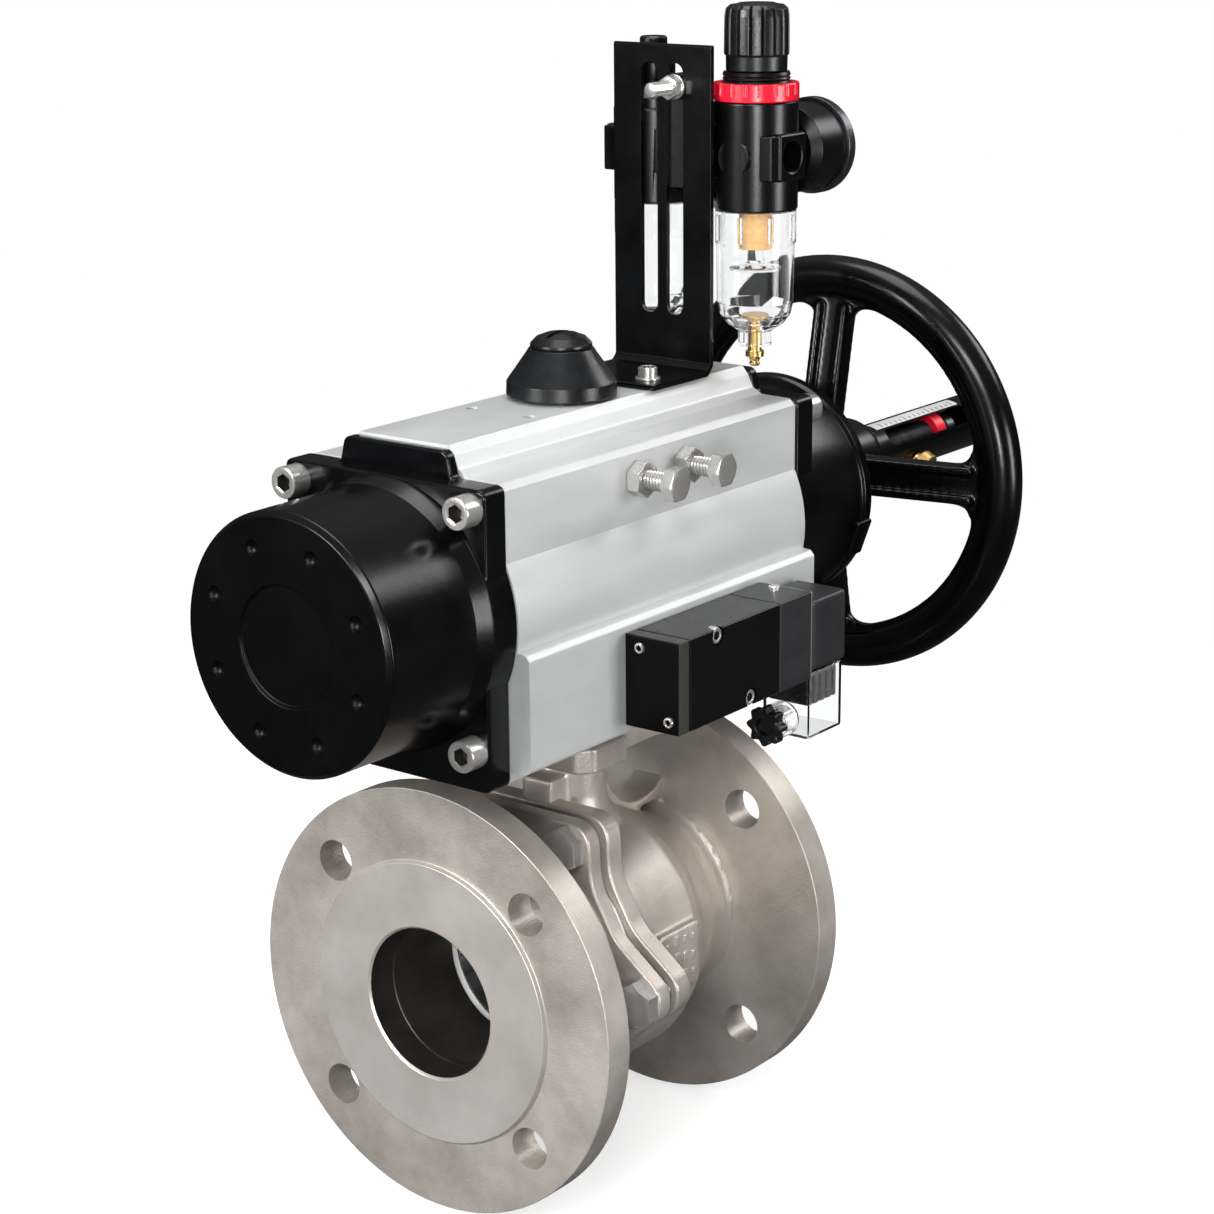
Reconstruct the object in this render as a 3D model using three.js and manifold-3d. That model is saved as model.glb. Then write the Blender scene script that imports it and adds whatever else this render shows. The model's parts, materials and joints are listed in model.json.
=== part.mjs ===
// Pneumatic actuated ball valve: a DN 65 flanged two-piece ball valve, a rack-and-pinion actuator with a
// handwheel override, a NAMUR solenoid valve, and a filter-regulator and lubricator set on a bracket.
// Millimetres. +X runs along the pipe towards the handwheel, +Z up along the stem, and the origin is the
// centre of the ball. The valve is drawn open, so both pistons stand at the outer ends of their stroke.
import * as THREE from "three";
import { mergeVertices } from "three/addons/utils/BufferGeometryUtils.js";
import Module from "manifold-3d";

const wasm = await Module();
wasm.setup();

// Pipe flanges, DN 65 PN 16, and the bore through the valve.
const FLANGE_R = 92.5;
const FLANGE_T = 14;
const FACE_R = 61;
const FACE_H = 2;
const BOLT_CIRCLE_R = 72.5;
const BOLT_HOLE_R = 9;
const BORE_R = 32.5;
const BORE_CHAMFER = 1;
const INLET_X = -94.4;
const OUTLET_X = 75.6;

// Ball, seats, stem and the bolted joint between the two halves of the valve.
const BALL_R = 49;
const CAVITY_R = 51;
const BARREL_R = 58.5;
const JOINT_X = -31.5;
const JOINT_PLATE_T = 9;
const BODY_PLATE_T = 10.5;
const JOINT_GAP = 3;
const JOINT_SIDE_BOLT_Y = 69.8;
const JOINT_TOP_BOLT = [32.2, 59.8];
const JOINT_LOBE_Y = 79.3;
const JOINT_TOP_Z = 70.6;
const STEM_R = 9;
const NECK_R = 17.2;
const RIB_SCOOP_X = 42.6;
const RIB_SCOOP_R = 25.4;
const PAD_TOP_Z = 106.5;
const PAD_T = 11;
const PAD_WAIST_R = 39;
const PAD_EAR = 48;

// Actuator body, an aluminium extrusion with its bore along X.
const AXIS_Z = 172.5;
const BODY_HALF = 99.8;
const CYL_R = 46;
const BULGE_R = 56.3;
const WALL_Y = 50.5;
const SHOULDER_Z = 228.2;
const TOP_Z = 240.5;
const TOP_HALF_W = 24;
const BASE_HALF_W = 46;
const NAMUR_Y = -61.3;
const NAMUR_TOP_Z = 160;
const NAMUR_LOW_Z = 115;

// Rack and pinion.
const GEAR_MODULE = 2;
const GEAR_TEETH = 18;
const PITCH_R = (GEAR_MODULE * GEAR_TEETH) / 2;
const ADDENDUM = 1.8;
const DEDENDUM = 2.6;
const BACKLASH = 0.5;
const PRESSURE_ANGLE = THREE.MathUtils.degToRad(20);
const GEAR_HALF_H = 14;
const RACK_HALF_H = 12;
const PISTON_OUT_X = 86;
const PISTON_T = 17;
const RACK_TIP_X = -8;
const RACK_TOOTH_END_X = 40;

// End caps, their screws and the travel-stop bolts.
const CAP_R = 52.4;
const CAP_FLANGE_T = 13.2;
const SPRING_CAP_X = -169.8;
const OVERRIDE_CAP_X = 163;
const CAP_WALL = 7;
const CAP_RING_R = 55.9;
const TAB_T = 5.5;
const SCREW_Y = 44.3;
const SCREW_DZ = 48.2;
const DOME_R = 23.2;
const STOP_X = 16.3;
const STOP_Z = 215.5;
const STOP_HEAD_Y = -73;
const STOP_TIP_Y = -16;
const CAM_HALF = 15.7;
const CAM_POCKET_R = 24;

// Handwheel override.
const WHEEL_R = 100.7;
const RIM_IN_R = 82;
const WINDOW_R = 79.5;
const SPOKE_HALF_W = 9.3;
const WEB_T = 8;
const WEB_DISH = 0.2;
const RIM_HALF_T = 9.5;
const RIM_X = 212.5;
const HUB_R = 21;
const SLEEVE_R = 12;
const SPINDLE_R = 7;
const TUBE_R = 13.5;
const TUBE_END_X = 338;

// Solenoid valve on the NAMUR face.
const SOL_FRONT_Y = -88.3;
const SOL_LOW_Z = 118.7;
const SOL_TOP_Z = 157.5;
const SOL_MID_Y = (SOL_FRONT_Y + NAMUR_Y) / 2;
const SOL_MID_Z = (SOL_LOW_Z + SOL_TOP_Z) / 2;

// Bracket and air preparation set.
const BRACKET_X = 71;
const BRACKET_T = 2.5;
const BRACKET_HALF_W = 25.5;
const BRACKET_TOP_Z = 380.5;
const UNIT_X = 92.5;
const REG_Y = -34;
const LUB_Y = 20;
const UNIT_LOW_Z = 311;
const PORT_Z = 334;
const PORT_HALF = 19;
const GAUGE_Z = 334;
const GAUGE_STEM_X = 111;

const GAP = 0.3;
const ROUND = 32;
const FINE = 16;
const SMALL = 8;

// ---------- solids ----------

// A closed geometry as a solid with its faces pointing out.
function solid(geometry) {
  const bare = geometry.index ? geometry.toNonIndexed() : geometry.clone();
  bare.deleteAttribute("normal");
  bare.deleteAttribute("uv");
  const merged = mergeVertices(bare, 1e-3);
  const vertProperties = merged.attributes.position.array;
  const triVerts = new Uint32Array(merged.index.array);
  const made = new wasm.Manifold(new wasm.Mesh({ numProp: 3, vertProperties, triVerts }));
  if (made.volume() > 0) return made;
  for (let i = 0; i < triVerts.length; i += 3) {
    const first = triVerts[i];
    triVerts[i] = triVerts[i + 1];
    triVerts[i + 1] = first;
  }
  return new wasm.Manifold(new wasm.Mesh({ numProp: 3, vertProperties, triVerts }));
}

function join(...pieces) {
  return pieces.reduce((whole, piece) => whole.add(piece));
}

function cut(whole, ...pieces) {
  return pieces.reduce((rest, piece) => rest.subtract(piece), whole);
}

function box(x0, x1, y0, y1, z0, z1) {
  const geometry = new THREE.BoxGeometry(x1 - x0, y1 - y0, z1 - z0);
  return solid(geometry.translate((x0 + x1) / 2, (y0 + y1) / 2, (z0 + z1) / 2));
}

const DIRECTION = {
  x: new THREE.Vector3(1, 0, 0),
  y: new THREE.Vector3(0, 1, 0),
  z: new THREE.Vector3(0, 0, 1),
};

// A body of revolution: the profile's pairs are [distance along the axis, radius].
function turned(axis, centre, profile, segments = ROUND) {
  const points = profile.map(([along, radius]) => new THREE.Vector2(radius, along));
  const open = points[0].x > 0 || points[points.length - 1].x > 0;
  if (open) points.push(points[0].clone());
  const direction = axis.isVector3 ? axis : DIRECTION[axis];
  const turn = new THREE.Quaternion().setFromUnitVectors(DIRECTION.y, direction);
  const geometry = new THREE.LatheGeometry(points, segments).applyQuaternion(turn);
  return solid(geometry.translate(...centre));
}

function rod(axis, start, radius, length, segments = SMALL) {
  return turned(axis, start, [[0, 0], [0, radius], [length, radius], [length, 0]], segments);
}

function ring(axis, start, outer, inner, length, segments = ROUND) {
  return turned(axis, start, [[0, inner], [0, outer], [length, outer], [length, inner]], segments);
}

// An outline pushed along an axis: x takes (y, z) outlines, y takes (x, z) and z takes (x, y).
function prism(axis, shape, low, high, curveSegments = 6) {
  const geometry = new THREE.ExtrudeGeometry(shape, { depth: high - low, bevelEnabled: false, curveSegments });
  geometry.translate(0, 0, low);
  const basis = new THREE.Matrix4();
  if (axis === "x") basis.makeBasis(DIRECTION.y, DIRECTION.z, DIRECTION.x);
  if (axis === "y") basis.makeBasis(DIRECTION.x, DIRECTION.z, DIRECTION.y);
  return solid(geometry.applyMatrix4(basis));
}

function polygon(points) {
  return new THREE.Shape(points.map(([u, v]) => new THREE.Vector2(u, v)));
}

// A closed outline whose corners are turned into curves that start a given reach away from them.
function roundedShape(corners, reach) {
  const shape = new THREE.Shape();
  const count = corners.length;
  corners.forEach(([u, v], i) => {
    const corner = new THREE.Vector2(u, v);
    const ends = [corners[(i + count - 1) % count], corners[(i + 1) % count]].map(([a, b]) => {
      const side = new THREE.Vector2(a, b).sub(corner);
      return corner.clone().add(side.setLength(Math.min(reach, side.length() * 0.45)));
    });
    if (i === 0) {
      shape.moveTo(ends[0].x, ends[0].y);
    } else {
      shape.lineTo(ends[0].x, ends[0].y);
    }
    shape.quadraticCurveTo(u, v, ends[1].x, ends[1].y);
  });
  shape.closePath();
  return shape;
}

function polar(steps, radiusAt) {
  const points = [];
  for (let i = 0; i < steps; i++) {
    const angle = (i / steps) * 2 * Math.PI;
    const radius = radiusAt(angle);
    points.push([radius * Math.cos(angle), radius * Math.sin(angle)]);
  }
  return polygon(points);
}

function slot(uMid, low, high, halfWidth) {
  const shape = new THREE.Shape();
  shape.absarc(uMid, high - halfWidth, halfWidth, 0, Math.PI);
  shape.absarc(uMid, low + halfWidth, halfWidth, Math.PI, 2 * Math.PI);
  shape.closePath();
  return shape;
}

// ---------- finishes ----------

const FINISH = {
  stainless: { color: 0xb5aea6, roughness: 0.45, metalness: 0.9 },
  polished: { color: 0xc9c9c9, roughness: 0.15, metalness: 1 },
  bright: { color: 0xc2c0bc, roughness: 0.3, metalness: 1 },
  aluminium: { color: 0xb9bab6, roughness: 0.4, metalness: 0.8 },
  alloy: { color: 0x9da0a0, roughness: 0.5, metalness: 0.8 },
  blackPaint: { color: 0x0b0c0e, roughness: 0.3, metalness: 0.1 },
  blackPlastic: { color: 0x15171a, roughness: 0.5, metalness: 0 },
  brass: { color: 0xb08a45, roughness: 0.35, metalness: 1 },
  red: { color: 0xc3152c, roughness: 0.4, metalness: 0 },
  white: { color: 0xf0efe9, roughness: 0.4, metalness: 0 },
  clear: { color: 0xe8eef0, roughness: 0.05, metalness: 0 },
  filter: { color: 0xc98a3c, roughness: 0.8, metalness: 0 },
  spring: { color: 0x4a4d52, roughness: 0.4, metalness: 0.9 },
};

const valve = new THREE.Group();

function add(name, made, finish) {
  const raw = made.getMesh();
  const geometry = new THREE.BufferGeometry();
  geometry.setAttribute("position", new THREE.BufferAttribute(raw.vertProperties, 3));
  geometry.setIndex(new THREE.BufferAttribute(raw.triVerts, 1));
  geometry.computeVertexNormals();
  const mesh = new THREE.Mesh(geometry, new THREE.MeshStandardMaterial(FINISH[finish]));
  mesh.name = name;
  valve.add(mesh);
}

// ---------- ball valve ----------

function aroundX(radius, angle) {
  return [radius * Math.cos(angle), radius * Math.sin(angle)];
}

function flangeHoles(low, high) {
  const holes = [];
  for (let i = 0; i < 4; i++) {
    const [y, z] = aroundX(BOLT_CIRCLE_R, Math.PI / 4 + (i * Math.PI) / 2);
    holes.push(rod("x", [low - 1, y, z], BOLT_HOLE_R, high - low + 2, FINE));
  }
  return holes;
}

// A bolted plate with a flat top and bottom, a lobe at each side and a waist between them.
function jointPlate(low, thickness) {
  const quarter = [[43, JOINT_TOP_Z], [44, 45], [56, 24], [JOINT_LOBE_Y, 6]];
  const half = [...quarter, ...quarter.map(([y, z]) => [y, -z]).reverse()];
  const outline = roundedShape([...half, ...half.map(([y, z]) => [-y, -z])], 11);
  return prism("x", outline, low, low + thickness, 3);
}

function jointBoltPlaces() {
  const [y, z] = JOINT_TOP_BOLT;
  return [[JOINT_SIDE_BOLT_Y, 0], [y, z], [-y, z], [-JOINT_SIDE_BOLT_Y, 0], [-y, -z], [y, -z]];
}

const JOINT_FRONT_X = JOINT_X - JOINT_PLATE_T;
const BODY_PLATE_X = JOINT_X + JOINT_GAP;
const SEAT_R = 41;
const SEAT_DEPTH = 9;
const SEAT_CONTACT_X = 31;

function inletEnd() {
  const back = INLET_X + FACE_H + FLANGE_T;
  const shell = turned("x", [0, 0, 0], [
    [INLET_X, BORE_R + BORE_CHAMFER],
    [INLET_X, FACE_R],
    [INLET_X + FACE_H, FACE_R + 0.5],
    [INLET_X + FACE_H, FLANGE_R],
    [back, FLANGE_R],
    [back, 56],
    [back + 5, 51],
    [-50, 50],
    [JOINT_FRONT_X, 58],
    [JOINT_X, 58],
    [JOINT_X, SEAT_R + GAP],
    [-SEAT_CONTACT_X - SEAT_DEPTH, SEAT_R + GAP],
    [-SEAT_CONTACT_X - SEAT_DEPTH, BORE_R],
    [INLET_X + BORE_CHAMFER, BORE_R],
  ]);
  const bolts = jointBoltPlaces().map(([y, z]) => rod("x", [JOINT_FRONT_X - 1, y, z], 6.4, 20));
  const plate = cut(jointPlate(JOINT_FRONT_X, JOINT_PLATE_T), rod("x", [JOINT_FRONT_X - 1, 0, 0], 54, 20, ROUND));
  return cut(join(shell, plate), ...bolts, ...flangeHoles(INLET_X, back));
}

function quarterTurns([u, v], turns) {
  return turns === 0 ? [u, v] : quarterTurns([-v, u], turns - 1);
}

// The stem pad: a round plate with four ears for the actuator's mounting screws.
function stemPad() {
  const low = PAD_TOP_Z - PAD_T;
  const quarter = [
    [PAD_WAIST_R, -15.5], [PAD_WAIST_R, 15.5], [PAD_WAIST_R + 4, 19], [PAD_EAR, 19],
    [PAD_EAR, 42], [42, PAD_EAR], [19, PAD_EAR], [19, PAD_WAIST_R + 4],
  ];
  const outline = polygon([0, 1, 2, 3].flatMap((turns) => quarter.map((point) => quarterTurns(point, turns))));
  return prism("z", outline, low, PAD_TOP_Z);
}

function valveBody() {
  const flangeIn = OUTLET_X - FACE_H - FLANGE_T;
  const shell = turned("x", [0, 0, 0], [
    [BODY_PLATE_X, CAVITY_R],
    [BODY_PLATE_X, 60],
    [BODY_PLATE_X + BODY_PLATE_T, BARREL_R],
    [16, BARREL_R],
    [24, 55],
    [30, 49],
    [flangeIn - 12, 48],
    [flangeIn - 4, 50],
    [flangeIn, 54],
    [flangeIn, FLANGE_R],
    [OUTLET_X - FACE_H, FLANGE_R],
    [OUTLET_X - FACE_H, FACE_R + 0.5],
    [OUTLET_X, FACE_R],
    [OUTLET_X, BORE_R + BORE_CHAMFER],
    [OUTLET_X - BORE_CHAMFER, BORE_R],
    [SEAT_CONTACT_X + SEAT_DEPTH, BORE_R],
    [SEAT_CONTACT_X + SEAT_DEPTH, SEAT_R + GAP],
    [SEAT_CONTACT_X, SEAT_R + GAP],
    [14, CAVITY_R],
  ]);
  const plate = cut(jointPlate(BODY_PLATE_X, BODY_PLATE_T), rod("x", [BODY_PLATE_X - 1, 0, 0], CAVITY_R, 20, ROUND));
  const neck = cut(
    turned("z", [0, 0, 0], [[50, 0], [50, 24], [62, NECK_R], [92, NECK_R], [99, 24], [99, 0]], FINE),
    rod("x", [-30, 0, 0], CAVITY_R, 60, ROUND),
  );
  const rib = cut(
    box(10, flangeIn + 2, -8, 8, 48, 78),
    rod("y", [RIB_SCOOP_X, -9, 77], RIB_SCOOP_R, 18, ROUND),
  );
  const symbolPad = cut(
    box(-14, 15.5, -60, -50, -13, 16),
    rod("x", [-30, 0, 0], CAVITY_R + 3, 60, ROUND),
  );
  const solidBody = join(shell, plate, neck, rib, symbolPad, stemPad());
  const stemBore = join(
    rod("z", [0, 0, 40], STEM_R + GAP, 70, FINE),
    rod("z", [0, 0, 76], 13, 40, FINE),
  );
  const bolts = jointBoltPlaces().map(([y, z]) => rod("x", [BODY_PLATE_X - 1, y, z], 5.5, 20));
  const padHoles = [1, -1].flatMap((i) => [1, -1].map((j) => rod("z", [36 * i, 36 * j, 90], 5.5, 20)));
  return cut(solidBody, stemBore, ...bolts, ...padHoles, ...flangeHoles(flangeIn, OUTLET_X));
}

const SLOT_DEPTH_Z = 40;

function ball() {
  const sphere = solid(new THREE.SphereGeometry(BALL_R, 24, 14));
  const bore = rod("x", [-60, 0, 0], BORE_R, 120, ROUND);
  const drive = box(-30, 30, -6, 6, SLOT_DEPTH_Z, 60);
  return cut(sphere, bore, drive);
}

// A seat ring's inner face follows the ball a little clear of it.
function seat(side) {
  const clear = BALL_R + GAP;
  const back = SEAT_CONTACT_X + SEAT_DEPTH - GAP;
  const onBall = [SEAT_R - 1, 38, BORE_R + 2].map((radius) => [Math.sqrt(clear ** 2 - radius ** 2) + 0.4, radius]);
  const profile = [[back, SEAT_R], [onBall[0][0], SEAT_R], ...onBall, [back, BORE_R + 2]];
  return turned("x", [0, 0, 0], profile.map(([along, radius]) => [side * along, radius]));
}

// The stem's flat tongue sits in the ball's slot, and its square end drives the pinion.
function stem() {
  const tongue = prism("z", polygon([[-8, -5.6], [8, -5.6], [8, 5.6], [-8, 5.6]]), SLOT_DEPTH_Z + 1, 50);
  const shaft = rod("z", [0, 0, 49.5], STEM_R, 56.5, FINE);
  const square = box(-6.2, 6.2, -6.2, 6.2, 105, 122);
  return join(tongue, shaft, square);
}

function hexBolt(axis, start, across, headH, shankR, length) {
  const corner = across / Math.sqrt(3);
  const head = rod(axis, start, corner, headH, 6);
  const direction = DIRECTION[axis];
  const from = new THREE.Vector3(...start).addScaledVector(direction, headH - 0.5);
  return join(head, rod(axis, from.toArray(), shankR, length, SMALL));
}

function buildValve() {
  add("inlet_end", inletEnd(), "stainless");
  add("valve_body", valveBody(), "stainless");
  add("ball", ball(), "polished");
  add("stem", stem(), "polished");
  add("seat_inlet", seat(-1), "white");
  add("seat_outlet", seat(1), "white");
  add("body_gasket", ring("x", [JOINT_X, 0, 0], 57.5, 52, JOINT_GAP), "white");
  add("stem_packing", ring("z", [0, 0, 76 + GAP], 12.7, STEM_R + GAP, 14, FINE), "white");
  jointBoltPlaces().forEach(([y, z], i) => {
    const bolt = hexBolt("x", [JOINT_FRONT_X - 7.5, y, z], 18, 7.5, 5.2, 24);
    add("joint_bolt_" + (i + 1), bolt, "bright");
  });
}

// ---------- actuator ----------

// Half of the extrusion's outline, from the top centre down the far (+Y) side.
function bodyOutline() {
  const bulgeStart = Math.acos(Math.min(1, WALL_Y / BULGE_R));
  const bulge = (from, to, side) => {
    const points = [];
    for (let i = 0; i <= 6; i++) {
      const angle = from + ((to - from) * i) / 6;
      points.push([side * BULGE_R * Math.cos(angle), AXIS_Z + BULGE_R * Math.sin(angle)]);
    }
    return points;
  };
  const top = [[TOP_HALF_W, TOP_Z], [TOP_HALF_W + 2.5, 232.5], [TOP_HALF_W + 6, 229.5], [WALL_Y - 4, SHOULDER_Z]];
  const lowPadAngle = Math.asin((NAMUR_TOP_Z + 2.5 - AXIS_Z) / BULGE_R);
  const plus = [
    ...top,
    [WALL_Y, SHOULDER_Z - 2.5],
    ...bulge(bulgeStart, -bulgeStart, 1),
    [WALL_Y, NAMUR_LOW_Z + 2],
    [BASE_HALF_W, NAMUR_LOW_Z],
    [BASE_HALF_W, PAD_TOP_Z],
  ];
  const minus = [
    ...top.map(([y, z]) => [-y, z]),
    [-WALL_Y, SHOULDER_Z - 2.5],
    ...bulge(bulgeStart, lowPadAngle, -1),
    [NAMUR_Y + 2.5, NAMUR_TOP_Z + 1],
    [NAMUR_Y, NAMUR_TOP_Z - 1],
    [NAMUR_Y, NAMUR_LOW_Z],
    [-BASE_HALF_W, NAMUR_LOW_Z],
    [-BASE_HALF_W, PAD_TOP_Z],
  ];
  return polygon([...plus, ...minus.reverse()]);
}

function screwPlaces() {
  return [[SCREW_Y, SCREW_DZ], [-SCREW_Y, SCREW_DZ], [SCREW_Y, -SCREW_DZ], [-SCREW_Y, -SCREW_DZ]];
}

function actuatorBody() {
  const block = prism("x", bodyOutline(), -BODY_HALF, BODY_HALF);
  const bore = rod("x", [-BODY_HALF - 1, 0, AXIS_Z], CYL_R, 2 * BODY_HALF + 2, ROUND);
  const cuts = [
    bore,
    rod("z", [0, 0, 100], 14 + GAP, 40, FINE),
    rod("z", [0, 0, 210], SLEEVE_R + GAP, 40, FINE),
    rod("z", [0, 0, 206], CAM_POCKET_R, 14.5, FINE),
  ];
  [-STOP_X, STOP_X].forEach((x) => cuts.push(rod("y", [x, NAMUR_Y, STOP_Z], 4 + GAP, 50)));
  screwPlaces().forEach(([y, dz]) => {
    cuts.push(rod("x", [-BODY_HALF - 1, y, AXIS_Z + dz], 4, 21));
    cuts.push(rod("x", [BODY_HALF - 20, y, AXIS_Z + dz], 4, 21));
  });
  [40, -40].forEach((x) => [15, -15].forEach((y) => cuts.push(rod("z", [x, y, TOP_Z - 11], 2.5, 12))));
  [36, -36].forEach((x) => [36, -36].forEach((y) => cuts.push(rod("z", [x, y, 100], 4.5, 20))));
  [-6, 6].forEach((x) => cuts.push(rod("y", [x, NAMUR_Y - 1, SOL_MID_Z], 3.5, 30)));
  return cut(block, ...cuts);
}

// The square flange that both caps share: four corner ears round the cylinder.
function capFlange(low, high) {
  const corner = polygon([
    [-51.5, 112], [-46.5, 107], [46.5, 107], [51.5, 112],
    [51.5, 224], [46.5, 228.5], [-46.5, 228.5], [-51.5, 224],
  ]);
  const ears = prism("x", corner, low, high);
  const round = rod("x", [low, 0, AXIS_Z], CAP_RING_R, high - low, ROUND);
  return join(ears, round);
}

function topTab(low, high) {
  const outline = polygon([[-28.5, 228], [-26, 239.4], [26, 239.4], [28.5, 228], [28.5, 220], [-28.5, 220]]);
  return prism("x", outline, low, high);
}

function screwHoles(low, high) {
  return screwPlaces().map(([y, dz]) => rod("x", [low - 1, y, AXIS_Z + dz], 4 + GAP, high - low + 2));
}

function springCap() {
  const front = SPRING_CAP_X;
  const flangeX = -BODY_HALF - CAP_FLANGE_T;
  const drum = turned("x", [0, 0, AXIS_Z], [
    [front, 0], [front, CAP_R - 2], [front + 2, CAP_R], [flangeX - 12, CAP_R], [flangeX - 1.3, CAP_RING_R],
    [-BODY_HALF, CAP_RING_R], [-BODY_HALF, 0],
  ]);
  const whole = join(drum, capFlange(flangeX, -BODY_HALF), topTab(-BODY_HALF - TAB_T, -BODY_HALF));
  const inside = rod("x", [front + CAP_WALL, 0, AXIS_Z], CYL_R, 100, ROUND);
  const recess = rod("x", [front - 1, 0, AXIS_Z], 23.5, 2, FINE);
  return cut(whole, inside, recess, ...screwHoles(flangeX, -BODY_HALF));
}

function overrideCap() {
  const end = OVERRIDE_CAP_X;
  const flangeX = BODY_HALF + CAP_FLANGE_T;
  const drum = turned("x", [0, 0, AXIS_Z], [
    [BODY_HALF, 0], [BODY_HALF, CAP_R], [end - 6, CAP_R], [end - 4, CAP_R - 1.5], [end, CAP_R - 3], [end, 0],
  ]);
  const whole = join(drum, capFlange(BODY_HALF, flangeX), topTab(BODY_HALF, BODY_HALF + TAB_T));
  const inside = rod("x", [BODY_HALF - 1, 0, AXIS_Z], CYL_R, end - CAP_WALL - BODY_HALF + 1, ROUND);
  const shaftHole = rod("x", [end - 20, 0, AXIS_Z], SLEEVE_R + GAP, 30, FINE);
  return cut(whole, inside, shaftHole, ...screwHoles(BODY_HALF, flangeX));
}

function socketScrew(axis, start, headR, headH, shankR, length) {
  const direction = DIRECTION[axis];
  const at = (along) => new THREE.Vector3(...start).addScaledVector(direction, along).toArray();
  const head = rod(axis, start, headR, headH, 16);
  const washer = rod(axis, at(headH - 0.1), headR + 1, 1.6, 16);
  const shank = rod(axis, at(headH), shankR, length);
  return cut(join(head, washer, shank), rod(axis, at(-1), headR * 0.5, headH * 0.6 + 1, 6));
}

// One rack flank rises with the pressure angle, and the teeth are thinned for running backlash.
function rackTeeth(side, z0, z1) {
  const pitch = Math.PI * GEAR_MODULE;
  const pieces = [];
  const slope = Math.tan(PRESSURE_ANGLE);
  const half = pitch / 4 - BACKLASH / 2;
  const first = Math.ceil((RACK_TIP_X + half) / pitch - 0.5);
  const last = Math.floor((RACK_TOOTH_END_X - half) / pitch - 0.5);
  for (let i = first; i <= last; i++) {
    const x = (i + 0.5) * pitch;
    const tip = PITCH_R - ADDENDUM;
    const root = PITCH_R + DEDENDUM + 0.5;
    const tooth = polygon([
      [x - half - slope * (root - PITCH_R), side * root],
      [x - half + slope * ADDENDUM, side * tip],
      [x + half - slope * ADDENDUM, side * tip],
      [x + half + slope * (root - PITCH_R), side * root],
    ]);
    pieces.push(prism("z", tooth, z0, z1));
  }
  return pieces;
}

// A piston drawn for the +X side with its rack on the -Y side.
function piston() {
  const inner = PISTON_OUT_X - PISTON_T;
  const disc = turned("x", [0, 0, AXIS_Z], [
    [inner, 0], [inner, CYL_R - 2], [inner + 3, CYL_R - 2], [inner + 3, CYL_R - GAP],
    [inner + 7, CYL_R - GAP], [inner + 7, CYL_R - 3], [inner + 11, CYL_R - 3], [inner + 11, CYL_R - GAP],
    [PISTON_OUT_X, CYL_R - GAP], [PISTON_OUT_X, 0],
  ]);
  const z0 = AXIS_Z - RACK_HALF_H;
  const z1 = AXIS_Z + RACK_HALF_H;
  const backY = -(PITCH_R + DEDENDUM);
  const bar = box(RACK_TIP_X, inner + 2, -33, backY, z0, z1);
  const teeth = rackTeeth(-1, z0, z1);
  return join(disc, bar, ...teeth);
}

function mirroredPiston() {
  return piston().rotate([0, 0, 180]);
}

// Gear outline: each flank is an involute of the base circle.
function gearOutline() {
  const base = PITCH_R * Math.cos(PRESSURE_ANGLE);
  const involute = (radius) => {
    const roll = Math.sqrt(Math.max(0, (radius / base) ** 2 - 1));
    return roll - Math.atan(roll);
  };
  const halfAtPitch = (Math.PI * GEAR_MODULE * 0.5 - BACKLASH) / (2 * PITCH_R);
  const halfAt = (radius) => halfAtPitch + involute(PITCH_R) - involute(radius);
  const radii = [PITCH_R - DEDENDUM, base, PITCH_R, PITCH_R + ADDENDUM];
  const points = [];
  for (let i = 0; i < GEAR_TEETH; i++) {
    const mid = ((i + 0.5) * 2 * Math.PI) / GEAR_TEETH;
    const side = (radius, sign) => {
      const angle = mid + sign * halfAt(radius);
      points.push([radius * Math.cos(angle), radius * Math.sin(angle)]);
    };
    radii.forEach((radius) => side(radius, -1));
    [...radii].reverse().forEach((radius) => side(radius, 1));
  }
  return polygon(points);
}

// The stop cam's two square ears meet one stop bolt at each end of the quarter turn.
function stopCam() {
  const low = 208.5;
  const high = 217.5;
  return join(
    rod("z", [0, 0, low], SLEEVE_R + 1, high - low, FINE),
    box(0, CAM_HALF, 0, CAM_HALF, low, high),
    box(-CAM_HALF, 0, -CAM_HALF, 0, low, high),
  );
}

function pinion() {
  const shaft = join(
    rod("z", [0, 0, PAD_TOP_Z + 0.5], 14, 60, FINE),
    rod("z", [0, 0, 160], SLEEVE_R, 90, FINE),
    prism("z", gearOutline(), AXIS_Z - GEAR_HALF_H, AXIS_Z + GEAR_HALF_H),
    stopCam(),
  );
  const square = box(-6.5, 6.5, -6.5, 6.5, 100, 130);
  return cut(shaft, square);
}

function indicator() {
  const low = TOP_Z + 1.1;
  const dome = turned("z", [0, 0, 0], [
    [low, 0], [low, DOME_R], [low + 6, DOME_R - 0.3], [low + 7.5, DOME_R - 1.2], [low + 19, 14.4],
    [low + 20, 12.9], [low + 21.5, 12.9], [low + 24.5, 10], [low + 26, 6], [low + 26.4, 0],
  ], 28);
  const shaftPocket = rod("z", [0, 0, low - 1], SLEEVE_R + GAP, 11, FINE);
  const pointer = box(-9, 9, -1.2, 1.2, low + 24.6, low + 30);
  return cut(dome, shaftPocket, pointer);
}

function stopBolt(x) {
  return hexBolt("y", [x, STOP_HEAD_Y, STOP_Z], 13, 5.5, 4, STOP_TIP_Y - STOP_HEAD_Y - 5);
}

function stopNut(x) {
  const nut = rod("y", [x, -WALL_Y - 6.5, STOP_Z], 7.6, 6.5 - GAP, 6);
  return cut(nut, rod("y", [x, -WALL_Y - 8, STOP_Z], 4 + GAP, 10));
}

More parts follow.
